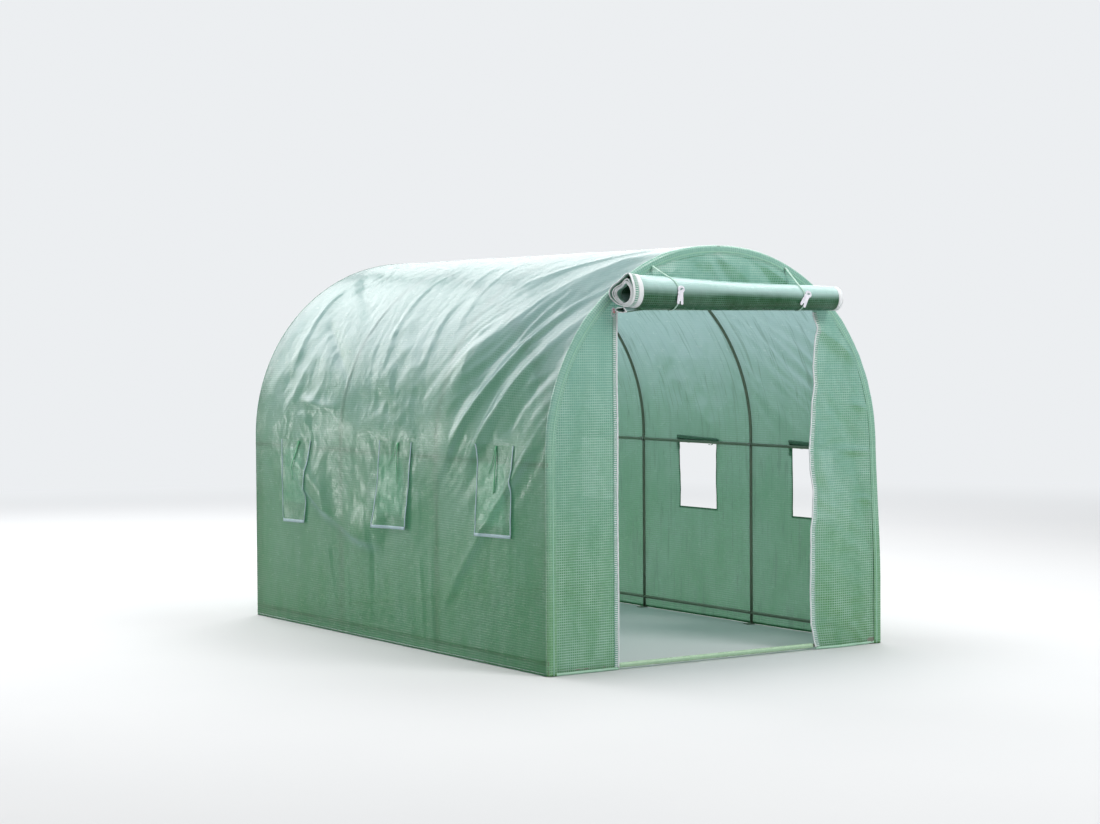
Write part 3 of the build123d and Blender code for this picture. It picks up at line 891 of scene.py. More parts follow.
# Below the door's top only the film beside the door narrows; above it the whole row does
row_half = half_at(z_rows, panel_inset)[:, None]
beside = np.where(x_grid < 0, door_left, door_right)
part = (x_grid - beside) / (np.sign(x_grid) * panel_half - beside)
narrowed = beside + part * (np.sign(x_grid) * row_half - beside)
x_low = np.where((x_grid <= door_left) | (x_grid >= door_right), narrowed, x_grid)
below_top = z_rows <= door_top + 1e-9
top_row = x_low[below_top][-1]
x_high = top_row[None, :] * row_half / half_at(door_top, panel_inset)
x_front = np.where(below_top[:, None], x_low, x_high)
x_face = (x_columns[:-1] + x_columns[1:])[None, :] / 2
z_face = (z_rows[:-1] + z_rows[1:])[:, None] / 2
open_door = (x_face > door_left) & (x_face < door_right) & (z_face < door_top)
front_faces = grid_faces(len(z_rows), len(x_columns), ~open_door)
front_panel = build(
    "front_panel", [(front_point(x_front, z_grid), front_faces, woven(x_front, z_grid))], panel_green,
    "cover_film", "front_left_panel", "front_right_panel", "front_gable_panel",
)


def back_relief(x, z):
    """How far the back film stands out from the plane of the back hoop."""
    relief = dents(x, z, (0.006, 2.2, 1.7, 101), (0.0007, 31, 27, 105))
    relief = relief + creases(x, z, (0.006, 62, 0.09, 0.7, 102, 1.0), (0.005, -55, 0.11, 0.8, 103, 1.0))
    relief = relief + (1 - smooth(z, 0, 0.5)) * dents(x, z, (0.006, 8, 2, 104))
    return np.clip(rim_fade(x, z) * relief, panel_lowest, back_highest)


back_mesh, back_columns = 0.0148, 137
back_rows = steps([0.0, spring_z, top_z - panel_inset], back_mesh)
back_x, back_z = np.meshgrid(np.linspace(-1, 1, back_columns), back_rows)
back_x = back_x * half_at(back_z, panel_inset)
back_points = np.stack([back_x, back_plane + back_relief(back_x, back_z), back_z], axis=-1)
back_faces = grid_faces(*back_x.shape)[:, ::-1]
back_panel = build(
    "back_panel", [(back_points, back_faces, woven(back_z, back_x))], panel_green, "cover_film",
    "back_end_panel",
)

# Frame tubes

foot_side, foot_corner, foot_thick, foot_edge = 0.048, 0.006, 0.003, 0.0006
# Height over the foot, and how much wider than the tube the weld is there
weld = ((-0.0004, 0.0032), (0.0006, 0.0026), (0.0018, 0.0012), (0.0026, 0.0001))
# Height over the leg's top, and how much wider than the tube the swaged joint is there
collar = ((-0.004, -0.0002), (0.0, 0.0007), (0.004, 0.0007), (0.008, 0.0001))


def rounded_square(side, corner):
    """A square's outline with rounded corners, round the origin."""
    reach = side / 2 - corner
    points = []
    for x, y, start in ((1, 1, 0), (-1, 1, 90), (-1, -1, 180), (1, -1, 270)):
        points += arc_points((x * reach, y * reach), corner, start, start + 90, 6)
    return points


def ringed(x, y, base_z, rows):
    """A short tube round a leg, from rows of height and growth."""
    path = [(x, y, base_z + z) for z, _ in rows]
    return tube(path, [bar_radius + grow for _, grow in rows], 24)


bend_radius = bar_x - crown_half
bend_angles = np.radians(np.linspace(1.5, 90, 60))
crown_gap = 0.0004
for name, place in zip(hoop_names, bar_y):
    legs, bends = [], []
    foot_y = middle(name + "_legs").y
    for side in (-1, 1):
        x = side * bar_x
        legs.append(tube([(x, place, z) for z in (foot_thick, 0.3, 0.6, 0.9, leg_top)], bar_radius, 24))
        foot_x = side * (hoop_x + tube_radius - foot_side / 2)
        foot = Matrix.Translation((foot_x, foot_y, foot_thick / 2))
        legs.append(plate([rounded_square(foot_side, foot_corner)], foot_thick, foot_edge, foot))
        legs.append(ringed(x, place, foot_thick, weld))
        bend = [(x, place, leg_top), (x, place, spring_z)]
        for angle in bend_angles:
            reach = crown_half + bend_radius * math.cos(angle)
            bend.append((side * reach, place, spring_z + bend_radius * math.sin(angle)))
        bends.append(tube([*bend, (crown_gap * side, place, bend[-1][2])], bar_radius, 24))
        bends.append(ringed(x, place, leg_top, collar))
    build(name + "_legs_round", legs, tube_steel, "frame_tube", name + "_legs")
    build(name + "_bends_round", bends, tube_steel, "frame_tube", name + "_bends")

# Along a rail's end: how far in, how flat it is pressed, and its width as a share
pressed_end = (
    (0, 1, 0.72), (0.002, 1, 0.9), (0.006, 1, 1), (0.034, 1, 1), (0.038, 1, 1), (0.046, 0.84, 1),
    (0.055, 0.55, 1), (0.064, 0.26, 1), (0.072, 0.08, 1), (0.080, 0, 1),
)
pressed_half_width, pressed_half = 0.0122, 0.0008


def rail_rings(start, end, out):
    """A rail from start to end whose ends are pressed flat on the out side."""
    start, end, out = (np.asarray(a, float) for a in (start, end, out))
    length = np.linalg.norm(end - start)
    run = (end - start) / length
    up = np.cross(out, run)
    stations = [*pressed_end, *((length - place, *rest) for place, *rest in reversed(pressed_end))]
    angle = np.linspace(0, 2 * np.pi, 24, endpoint=False)
    rings = []
    for place, flat, tip in stations:
        half_out = bar_radius * (1 - flat) + pressed_half * flat
        half_up = (bar_radius * (1 - flat) + pressed_half_width * flat) * tip
        c, s = np.cos(angle), np.sin(angle)
        power = 1 - 0.45 * flat
        c, s = np.sign(c) * np.abs(c) ** power, np.sign(s) * np.abs(s) ** power
        centre = start + run * place + out * (bar_radius - pressed_half) * flat
        rings.append(centre + np.outer(c * half_out, out) + np.outer(s * half_up, up))
    points, faces = capped(np.array(rings))
    return points, [face[::-1] for face in faces]


# Each rail's way out of the tunnel
rails = {
    "ridge_rail": (0, 0, 1),
    "left_side_rail": (-1, 0, 0),
    "right_side_rail": (1, 0, 0),
    "left_ground_rail": (-1, 0, 0),
    "right_ground_rail": (1, 0, 0),
    "threshold_rail": (0, -1, 0),
    "back_ground_rail": (0, 1, 0),
}
rail_axis = {}
for name, out in rails.items():
    low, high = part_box(name)
    centre = (low + high) / 2
    for axis, way in enumerate(out):
        if way:
            centre[axis] = (high if way > 0 else low)[axis] + way * (2 * slack - bar_radius)
    along = 0 if out[1] else 1
    start, end = centre.copy(), centre.copy()
    start[along], end[along] = low[along], high[along]
    rail_axis[name] = centre
    build(name + "_round", [rail_rings(start, end, out)], tube_steel, "frame_tube", name)

# Bolts through the rails and hoops, with wing nuts inside

# Each part's rise off the tube, with its radius or, for a wing, its reach and its radius
nut_hub = ((-0.0005, 0.0052), (0.0005, 0.0056), (0.0065, 0.0044), (0.0075, 0.0038))
nut_stud = ((0.0070, 0.0026), (0.0110, 0.0026), (0.0122, 0.0021), (0.0127, 0.0008))
nut_wing = (
    (0.003, 0.002, 0.0026), (0.0045, 0.006, 0.0028), (0.0075, 0.0105, 0.0030), (0.0105, 0.0125, 0.0016),
)


def wing_nut(base, inward, turn):
    """A domed bolt end and a wing nut, standing on base and pointing inward."""
    base, inward = np.asarray(base, float), np.asarray(inward, float)
    side = np.cross(inward, [0, 1.0, 0]) * math.cos(turn) + np.array([0, 1.0, 0]) * math.sin(turn)
    parts = [
        tube([base + inward * rise for rise, _ in rows], [radius for _, radius in rows], segments)
        for rows, segments in ((nut_hub, 16), (nut_stud, 12))
    ]
    for sign in (-1, 1):
        wing = [base + inward * rise + side * sign * reach for rise, reach, _ in nut_wing]
        parts.append(tube(wing, [radius for *_, radius in nut_wing], 10))
    return parts


fasteners = []
side_x = abs(rail_axis["left_side_rail"].x)
ridge_z = rail_axis["ridge_rail"].z
ground_rail = rail_axis["left_ground_rail"]
behind_pressed = bar_radius - 2 * pressed_half
for index, place in enumerate(hoop_y):
    off_axis = behind_pressed if index in (0, len(hoop_y) - 1) else -bar_radius
    for side in (-1, 1):
        base = (side * (side_x + off_axis), place, rail_z)
        fasteners += wing_nut(base, (-side, 0, 0), 0.5 + index * 0.7 + side)
    fasteners += wing_nut((0.0, place, ridge_z + off_axis), (0, 0, -1), 0.9 + index)
for side in (-1, 1):
    for place in (hoop_y[0], hoop_y[-1]):
        base = (side * (abs(ground_rail.x) + behind_pressed), place, ground_rail.z)
        fasteners += wing_nut(base, (-side, 0, 0), 0.4 + side)
build("wing_nuts", fasteners, zinc, "frame_tube")

# Door roll

end_reach = 0.040
roll_start, roll_end = roll_low.x - end_reach, roll_high.x
roll_length = roll_end - roll_start
roll_turns = 4.0
tape_width = 0.060
outer_film = roll_radius - film_half
# The left end's outline, seen from the left: angle from the front in degrees, radius in mm
end_outline = np.array([
    (-120, 62), (-90, 62), (-66, 67), (-44, 75), (-24, 79), (0, 78), (26, 79), (45, 82), (60, 90),
    (68, 82), (90, 58), (121, 47), (150, 56), (171, 68), (181, 74), (196, 73), (213, 65), (240, 62),
    (270, 62),
])
end_angles, end_radii = end_outline[:, 0], end_outline[:, 1] / 1000 / roll_radius
# Each quarter turn's share of the outline, inwards from the bottom of the outer turn
loose_share = [1.0, 1.0, 1.0, 1.0, 0.93, 0.91, 0.60, 0.74, 0.86, 0.83, 0.44, 0.58]
loose_share += [0.79, 0.76, 0.36, 0.46, 0.72]
tight_share = [1.0, 1.0] + [0.985 - 0.015 * i for i in range(15)]
# The end of the sheet: where it curls under the roll's left end, and where it runs back to
# the gable along the rest, out from the underside of the roll in roll radii
curl_path = [(0.30, -1.10), (-0.05, -1.13), (-0.36, -1.10), (-0.52, -0.99), (-0.42, -0.88), (-0.05, -0.86)]
back_path = [(-0.20, -0.99), (-0.38, -0.96), (-0.56, -0.92), (-0.72, -0.88), (-0.88, -0.84), (-0.98, -0.80)]


# How much slimmer the roll gets to its right end, how much fuller it is at its left one and
# over which share of its length, and its wave
slimming, fullness, full_reach, roll_wave, wave_scale = 0.26, 0.10, 0.35, 0.010, 9.0
# The width of the loose turns' stretch, how far their backs slip out, and that stretch's width
loose_width, slip_out, slip_width = 0.085, 0.022, 0.05


def roll_line(x):
    """The roll's centre and size along its length: full at its left end, slim at the other,
    with its back on the gable and its underside level."""
    t = (x - roll_start) / (roll_end - roll_start)
    size = 1.0 - slimming * t + fullness * np.exp(-t / full_reach)
    size = size + roll_wave * np.sin(t * wave_scale)
    return roll_y + roll_radius * (1 - size), roll_z - roll_radius * (1 - size), size


def eased(values, t):
    """Values at whole steps of t with an even curve between them."""
    last, reach = len(values) - 1, 15
    fine = np.interp(np.linspace(0, last, 40 * len(values)), np.arange(len(values)), values)
    kernel = np.hanning(2 * reach + 1)
    padded = np.concatenate([np.full(reach, fine[0]), fine, np.full(reach, fine[-1])])
    soft = np.convolve(padded, kernel / kernel.sum(), "valid")
    return np.interp(t, np.linspace(0, last, len(fine)), soft)


def roll_profile(turns, x):
    """The wound sheet's centre line, turns in from the underside of its outer turn: u out
    of the front and w up, both in roll radii, and the end of the sheet under the roll."""
    end = bell(x, roll_start, loose_width)
    angle = 2 * np.pi * turns - np.pi / 2
    at = (np.degrees(angle) + 90) % 360 - 90
    # A mean of three places rounds the outline's corners
    shape = sum(
        share * np.interp(at + shift, end_angles, end_radii)
        for share, shift in ((0.5, 0), (0.25, -7), (0.25, 7))
    )
    round_one = 1 + 0.008 * np.sin(3 * angle + 7 * x) + 0.005 * np.sin(5 * angle - 11 * x + 1)
    loose = shape * eased(loose_share, turns * 4)
    tight = round_one * outer_film / roll_radius * eased(tight_share, turns * 4)
    radius = end * loose + (1 - end) * tight
    under = end * np.array(curl_path) + (1 - end) * np.array(back_path)
    return radius * np.cos(angle), radius * np.sin(angle), under


wound = np.linspace(0, roll_turns, 221)
tail_points = 21


def roll_sheet(x, lift, turns=None):
    """Points of the wound sheet at one x, at the turns given or from its tail to its inner end."""
    u, w, under = roll_profile(wound if turns is None else turns, x)
    if turns is None:
        knots = np.concatenate([under[::-1], [[u[0], w[0]]]])
        run = run_along(knots)
        place = np.linspace(0, run[-1], tail_points + 1)[:-1]
        u = np.concatenate([np.interp(place, run, knots[:, 0]), u])
        w = np.concatenate([np.interp(place, run, knots[:, 1]), w])
    centre_y, centre_z, size = roll_line(x)
    u, w = u * roll_radius * size, w * roll_radius * size
    du, dw = np.gradient(u), np.gradient(w)
    length = np.hypot(du, dw)
    out_u, out_w = dw / length, -du / length
    slip = -slip_out * bell(x, roll_start, slip_width) * np.clip(-u / roll_radius, 0, 1)
    return np.stack([x + slip, centre_y - (u + lift * out_u), centre_z + w + lift * out_w], -1)


loose_stretch, end_stretch = 0.14, 0.05
x_stations = roll_start + np.concatenate([
    np.linspace(0, loose_stretch, 20)[:-1],
    np.linspace(loose_stretch, roll_length - end_stretch, 38)[:-1],
    np.linspace(roll_length - end_stretch, roll_length, 6),
])
lower, upper = (np.array([roll_sheet(x, lift) for x in x_stations]) for lift in (-film_half, film_half))
length_along = run_along(lower[20])
roll_weave = woven(x_stations[:, None], length_along[None, :])
door_roll = build(
    "door_roll_film", [slab(lower, upper, roll_weave, turned=True)], roll_green_painted_light, "door_film", "door_roll"
)


def roll_band(x0, x1, low_lift, high_lift, turns, columns=4):
    """A closed band on the wound sheet between two places along the roll."""
    xs = np.linspace(x0, x1, columns)
    low, high = (np.array([roll_sheet(x, lift, turns) for x in xs]) for lift in (low_lift, high_lift))
    return slab(low, high, woven(run_along(low[0])[None, :], xs[:, None]), turned=True)


# The zip half along both edges of the sheet: a white edge, a ribbed strip, a white band
outer_turns = np.linspace(0.0, 1.06, 90)
inner_turns = np.linspace(1.06, roll_turns, 160)
edge_inner, edge_end, strip_end = roll_start + 0.0045, roll_start + 0.0105, roll_start + 0.0305
rib_half_turn = 0.0028
roll_edges = [
    roll_band(roll_start - 0.001, roll_start + 0.0050, -0.0021, 0.0021, None),
    roll_band(edge_inner, edge_end, 0.0008, 0.0019, outer_turns),
    roll_band(strip_end, roll_start + tape_width, 0.0009, 0.0016, outer_turns),
    roll_band(roll_end - 0.026, roll_end + 0.001, -0.0018, 0.0020, None),
]
roll_strip = [
    roll_band(edge_end, strip_end, 0.0009, 0.0013, outer_turns),
    roll_band(edge_inner, strip_end, -0.0016, -0.0009, None),
    roll_band(edge_inner, strip_end, 0.0009, 0.0013, inner_turns),
]
roll_teeth = [
    roll_band(edge_end, strip_end - 0.003, 0.0012, 0.0024, turn + rib_half_turn * np.array([-1, 1]), 3)
    for turn in np.linspace(0.01, 1.05, 56)
]
build("door_roll_zip_edges", roll_edges, white_tape, "zip")
build("door_roll_zip_strip", roll_strip, teal_tape, "zip")
build("door_roll_zip_teeth", roll_teeth, white_tape, "zip")

# Ties over the roll and their toggles

tie_low, tie_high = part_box("door_ties")
# A tie's width, half its thickness, its gap from the roll and its start off the gable
tie_width, tie_half, tie_clear, tie_off = 0.009, 0.0007, 0.0022, 0.006
# How much wider it is where it is sewn on, and the angle at which it ends under the roll
sewn_wider, tie_end = 0.35, -118
# Each tie's x on the gable and on the roll, its toggle's lean in degrees and drop
tie_places = [
    (tie_low.x + tie_width / 2, tie_low.x + 0.050, -8, 0.009),
    (tie_high.x + 0.004, tie_high.x + 0.026, -34, 0.006),
]


def tie_path(x_top, x_roll):
    """The line of a tie from the gable over the roll's front and under it."""
    centre_y, centre_z, size = roll_line(x_roll)
    radius = roll_radius * size + tie_clear
    out = np.array([centre_y - (front_plane - tie_off), tie_high.z - centre_z])
    touch = math.atan2(out[1], out[0]) - math.acos(radius / np.hypot(*out))
    contact = np.array([radius * math.cos(touch), radius * math.sin(touch)])
    line = [out * (1 - t) + contact * t for t in np.linspace(0, 1, 12)[:-1]]
    angles = np.linspace(touch, math.radians(tie_end), 30)
    line += [np.array([radius * math.cos(a), radius * math.sin(a)]) for a in angles]
    line = np.array(line)
    x = x_top + (x_roll - x_top) * smooth(np.linspace(0, 1, len(line)), 0.0, 0.55)
    return np.stack([x, centre_y - line[:, 0], centre_z + line[:, 1]], -1)


ties = []
for x_top, x_roll, _, _ in tie_places:
    line = tie_path(x_top, x_roll)
    tangent = np.gradient(line, axis=0)
    tangent /= np.linalg.norm(tangent, axis=1)[:, None]
    side = np.array([1.0, 0, 0]) - tangent * tangent[:, :1]
    side /= np.linalg.norm(side, axis=1)[:, None]
    normal = np.cross(tangent, side)[:, None] * tie_half
    offsets = np.linspace(-tie_width / 2, tie_width / 2, 5)
    wide = 1 + sewn_wider * (1 - smooth(np.linspace(0, 1, len(line)), 0.1, 0.35))
    grid = line[:, None] + side[:, None] * offsets[None, :, None] * wide[:, None, None]
    ties.append(slab(grid - normal, grid + normal, woven(run_along(line)[:, None], offsets[None, :])))
build("door_tie_webbing", ties, tie_webbing, "tie_band", "door_ties")


def toggle_outlines():
    """The toggle as seen from the front: a ring on top and two short feet."""
    body = arc_points((0.003, 0.0285), (0.0185, 0.0150), 228, -48, 26)
    body += [(0.0142, 0.010), (0.0140, -0.004), (0.0156, -0.014)]
    body += arc_points((0.0122, -0.0390), 0.0045, 0, -90, 5)
    body += arc_points((0.0092, -0.0395), 0.0040, -90, -180, 5)
    body += arc_points((0.0, -0.0315), 0.0050, 0, 180, 9)
    body += arc_points((-0.0092, -0.0395), 0.0040, 0, -90, 5)
    body += arc_points((-0.0122, -0.0390), 0.0045, -90, -180, 5)
    body += [(-0.0156, -0.014), (-0.0138, -0.003), (-0.0112, 0.001), (-0.0140, 0.005), (-0.0140, 0.013)]
    hole = arc_points((0.0045, 0.0290), (0.0110, 0.0052), 0, 360, 25, 32)[:-1]
    slot = arc_points((0.0, -0.022), (0.0022, 0.0030), 0, 360, 13)[:-1]
    return [body, hole, slot]


def boss_outline():
    """The raised middle of the toggle's body."""
    boss = arc_points((0.0, 0.004), 0.0078, 0, 180, 13)
    boss += arc_points((-0.0048, -0.013), 0.0030, 180, 270, 5)
    return [boss + arc_points((0.0048, -0.013), 0.0030, 270, 360, 5)]


toggles = []
toggle_clear, toggle_thick, boss_thick, toggle_nod = 0.0052, 0.0042, 0.0022, -6
upright_face = Matrix.Rotation(math.radians(90), 4, "X")
for _, x, turn, drop in tie_places:
    centre_y, centre_z, size = roll_line(x)
    lean = Matrix.Rotation(math.radians(turn), 4, "Z")
    nod = Matrix.Rotation(math.radians(toggle_nod), 4, "X")
    place = Matrix.Translation((x, centre_y - roll_radius * size - toggle_clear, centre_z - drop))
    place = place @ nod @ upright_face @ lean
    toggles.append(plate(toggle_outlines(), toggle_thick, 0.0012, place))
    lifted = place @ Matrix.Translation((0, 0, boss_thick))
    toggles.append(plate(boss_outline(), boss_thick, 0.0008, lifted))
build("door_toggle_hooks", toggles, white_plastic, "toggle_plastic", "door_toggles")

# Zips on the door's edges

zip_low, zip_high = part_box("door_zip_left")
zip_z = steps([zip_low.z, zip_high.z], 0.010)
strip_width, strip_low, strip_high = 0.027, 0.0006, 0.0012
bead_off, bead_radius, bead_lift = 0.003, 0.0040, 0.0020
tooth_start, tooth_end, tooth_pitch, tooth_lift = 0.005, 0.025, 0.0092, 0.0018
first_tooth, last_tooth = zip_low.z + 0.006, zip_high.z - 0.004
tooth_radii = [0.0014, 0.0020, 0.0019, 0.0010]
for name, edge_x, side in (("left", door_left, -1), ("right", door_right, 1)):
    grid_x, grid_z = np.meshgrid(edge_x + side * np.linspace(0.0, strip_width, 5)[::side], zip_z)
    faces = [front_point(grid_x, grid_z, lift) for lift in (strip_low, strip_high)]
    build(f"door_zip_{name}_strip", [slab(*faces, woven(grid_z, grid_x))], teal_tape, "zip")
    teeth = [tube(front_point(edge_x + side * bead_off, zip_z, bead_lift), bead_radius, 10)]
    tooth_x = edge_x + side * np.linspace(tooth_start, tooth_end, 4)
    for tooth_z in np.arange(first_tooth, last_tooth, tooth_pitch):
        teeth.append(tube(front_point(tooth_x, tooth_z, tooth_lift), tooth_radii, 6))
    build(f"door_zip_{name}_teeth", teeth, white_tape, "zip", f"door_zip_{name}")

# The slider at the top of the left zip, with its bridge, its ring and a pull tab
slider_x, slider_z = door_left - 0.026, zip_high.z + 0.008
slider_y = float(front_point(slider_x, slider_z)[1]) - 0.0045
slider_outline = arc_points((0, 0.004), (0.0078, 0.0065), 0, 180, 12)
slider_outline += [(-0.0064, -0.006), (-0.0040, -0.0105), (0.0040, -0.0105), (0.0064, -0.006)]
bridge = [(-0.002, 0.006), (-0.0058, 0.003), (-0.0062, -0.003), (-0.002, -0.007)]
ring_centre = np.array([slider_x - 0.004, slider_y - 0.0042, slider_z - 0.017])
ring_angle = np.linspace(0, 2 * np.pi, 33)[:-1]
ring_reach = (0.0085, -0.0015, 0.0125)
ring_turn = [np.cos(ring_angle), np.sin(ring_angle), np.sin(ring_angle)]
ring = np.stack([c + r * t for c, r, t in zip(ring_centre, ring_reach, ring_turn)], -1)
wire_radius = 0.0016
slider_face = Matrix.Translation((slider_x, slider_y, slider_z)) @ upright_face
slider = [
    plate([slider_outline], 0.0052, 0.0014, slider_face),
    tube(ring, wire_radius, 8),
    tube([(slider_x, slider_y + out, slider_z + up) for out, up in bridge], wire_radius, 8),
]
build("door_zip_slider", slider, white_plastic, "zip")
tab_lean = 0.2
tab_place = Matrix.Translation(tuple(ring_centre + [0.004, -0.0012, 0.0130]))
tab_place = tab_place @ upright_face @ Matrix.Rotation(tab_lean, 4, "Z")
tab_outline = arc_points((0, 0.004), 0.0048, 20, 160, 8) + arc_points((0, -0.006), 0.0055, 180, 360, 10)
build("door_zip_pull_tab", [plate([tab_outline], 0.0026, 0.0008, tab_place)], red_plastic, "zip")

# Film round the threshold rail

sleeve_low, sleeve_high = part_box("threshold_sleeve")
sleeve_x = steps([sleeve_low.x, sleeve_high.x], 0.014)
sleeve_radius = (sleeve_high.y - sleeve_low.y) / 2
sleeve_z = middle("threshold_sleeve").z
sleeve_half, sleeve_gap, sleeve_lap = 0.0005, 0.0006, 0.0024
sleeve_uneven, sleeve_scale = 0.05, 14
wrap = np.radians(np.linspace(-60, 360, 44))
curl = (wrap - wrap[0]) / (wrap[-1] - wrap[0])
uneven = 1 + sleeve_uneven * noise(sleeve_x * sleeve_scale, 0 * sleeve_x + 0.3, 111)
layers = []
for lift in (-sleeve_half, sleeve_half):
    reach = (sleeve_radius - sleeve_gap - sleeve_lap * (1 - curl) + lift)[None, :] * uneven[:, None]
    y = rail_axis["threshold_rail"].y + reach * np.cos(wrap)
    layers.append(np.stack(np.broadcast_arrays(sleeve_x[:, None], y, sleeve_z + reach * np.sin(wrap)), -1))
sleeve_weave = woven(sleeve_x[:, None], wrap[None, :] * sleeve_radius)
sleeve = build(
    "threshold_sleeve_film", [slab(*layers, sleeve_weave)], sleeve_film, "cover_film", "threshold_sleeve"
)

# Window flaps that hang over the left windows

# How far out each flap hangs at its foot
flap_hang = (0.010, 0.018, 0.008)
# The flaps' gap from the cover, their ripple, and how far the middle one's corner curls out
flap_gap, flap_ripple, flap_curl = 0.0018, 0.0018, 0.012
# Each flap's front and back edge at the top, the same at the bottom, and its top and bottom z
flap_edges = (
    (-1.140, -0.820, -1.130, -0.812, 1.055, 0.618),
    (-0.195, 0.128, -0.150, 0.168, 1.040, 0.596),
    (0.885, 1.235, 0.955, 1.210, 1.012, 0.562),
)
binding_width = 0.008
corner_drop = 0.006
binding_near, binding_far = np.array([-0.0005, 0, 0]), np.array([-0.0013, 0, 0])


def flap_place(number, y, down):
    """x and z of a left flap's cloth at y, down its length from 0 at the top to 1."""
    front_top, back_top, _, _, top, bottom = flap_edges[number]
    z = top - down * (top - bottom)
    hang = flap_hang[number] * down**1.3 * (0.85 + 0.3 * noise(y * 9, z * 4, 121 + number))
    if number == 1:
        # The back corner of the middle flap curls out
        along = (y - front_top) / (back_top - front_top)
        hang = hang + flap_curl * smooth(down, 0.6, 1.0) * smooth(along, 0.5, 1.0)
    ripple = flap_ripple * noise(y * 26, down * 5, 127 + number) * smooth(down, 0.1, 0.6)
    x = -half_width - flap_gap - np.maximum(cover_relief(y, z), 0.0) - hang - ripple
    return x, z


for number, (front_top, back_top, front_low, back_low, top, bottom) in enumerate(flap_edges):
    width = back_top - front_top
    along = steps([0.0, binding_width, width - binding_width, width], 0.012) / width
    downs = np.concatenate([np.linspace(0, 0.965, 34), [0.9825, 1.0]])
    share, down = np.meshgrid(along, downs[::-1])
    front_edge = front_top + (front_low - front_top) * down
    back_edge = back_top + (back_low - back_top) * down**1.5
    y = front_edge + (back_edge - front_edge) * share
    x, z = flap_place(number, y, down)
    z = z - corner_drop * share * down
    grid, weave = np.stack([x, y, z], -1), woven(share * width, z)
    flap = build(
        f"left_window_flap_film_{number + 1}", [(grid, grid_faces(*z.shape), weave)], flap_green,
        "flap_film", f"left_window_flap_{number + 1}",
    )
    edges = (np.s_[:, :2], np.s_[:, -2:], np.s_[:3])
    borders = [slab(grid[at] + binding_near, grid[at] + binding_far, weave[at]) for at in edges]
    border = build(f"left_window_flap_binding_{number + 1}", borders, blue_tape, "flap_film")

# Ties that hang on the left flaps: y at the top, sideways sweep, half width at the top, how
# much it narrows, and length
flap_ties = (
    ((-0.990, 0.002, 0.0050, 0.0, 0.225), (-0.984, 0.055, 0.0030, 0.5, 0.135)),
    ((-0.066, 0.004, 0.0060, 0.8, 0.215), (-0.060, 0.085, 0.0035, 0.6, 0.125)),
    ((1.000, 0.092, 0.0055, 0.4, 0.215), (1.010, 0.040, 0.0030, 0.5, 0.110)),
)
# A strap's thickness, its start down the flap, its gap off it and its bulge, how much further
# out the longer one lies, and its wave
strap_thick, strap_start, strap_off, strap_bulge, strap_step = 0.0012, 0.012, 0.0012, 0.0035, 0.0016
strap_wave, strap_scale = 0.002, 7
straps = []
for number, pair in enumerate(flap_ties):
    tall = flap_edges[number][4] - flap_edges[number][5]
    for layer, (place, sweep, half, narrowing, length) in enumerate(pair):
        t = np.linspace(0, 1, 18)
        wide = half * (1 - narrowing * t)
        y = place + sweep * t * (0.6 + 0.4 * t) + strap_wave * np.sin(t * strap_scale)
        out = strap_off + strap_bulge * np.sin(np.pi * t) + strap_step * (1 - layer)
        rows = []
        for edge_y in (y - wide, y + wide):
            x, z = flap_place(number, edge_y, strap_start + t * length / tall)
            rows.append(np.stack([x - out, edge_y, z], -1))
        lower = np.stack(rows, 1)
        weave = woven(t[:, None] * length, np.array([[-half, half]]))
        straps.append(slab(lower, lower - np.array([strap_thick, 0, 0]), weave))
build("left_window_tie_straps", straps, green_strap, "tie_band", "left_window_ties")

# Rolled flaps over the right windows, each with two straps and a loose strap end

rolls_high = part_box("right_window_rolls")[1]
small_radius, small_half, small_turns, small_film = 0.018, 0.189, 5.5, 0.0004
small_core, small_grow, small_lean = 0.0045, 0.0122, 0.006
small_uneven, uneven_scale, small_oval, oval_turn = 0.10, 9, 0.10, 0.7
small_x, small_z = rolls_high.x - small_radius, rolls_high.z - small_radius
# The sheet's end, from the roll up the wall to its seam
seam_u, seam_w = [-0.0165, -0.0170, -0.0172], [0.006, 0.013, 0.020]
band_radius, band_half, band_thick = small_radius * 1.08 + 0.0008, 0.006, 0.0014
band_places = (-0.10, 0.10)
end_width, end_length, end_thick = 0.022, 0.046, 0.0012
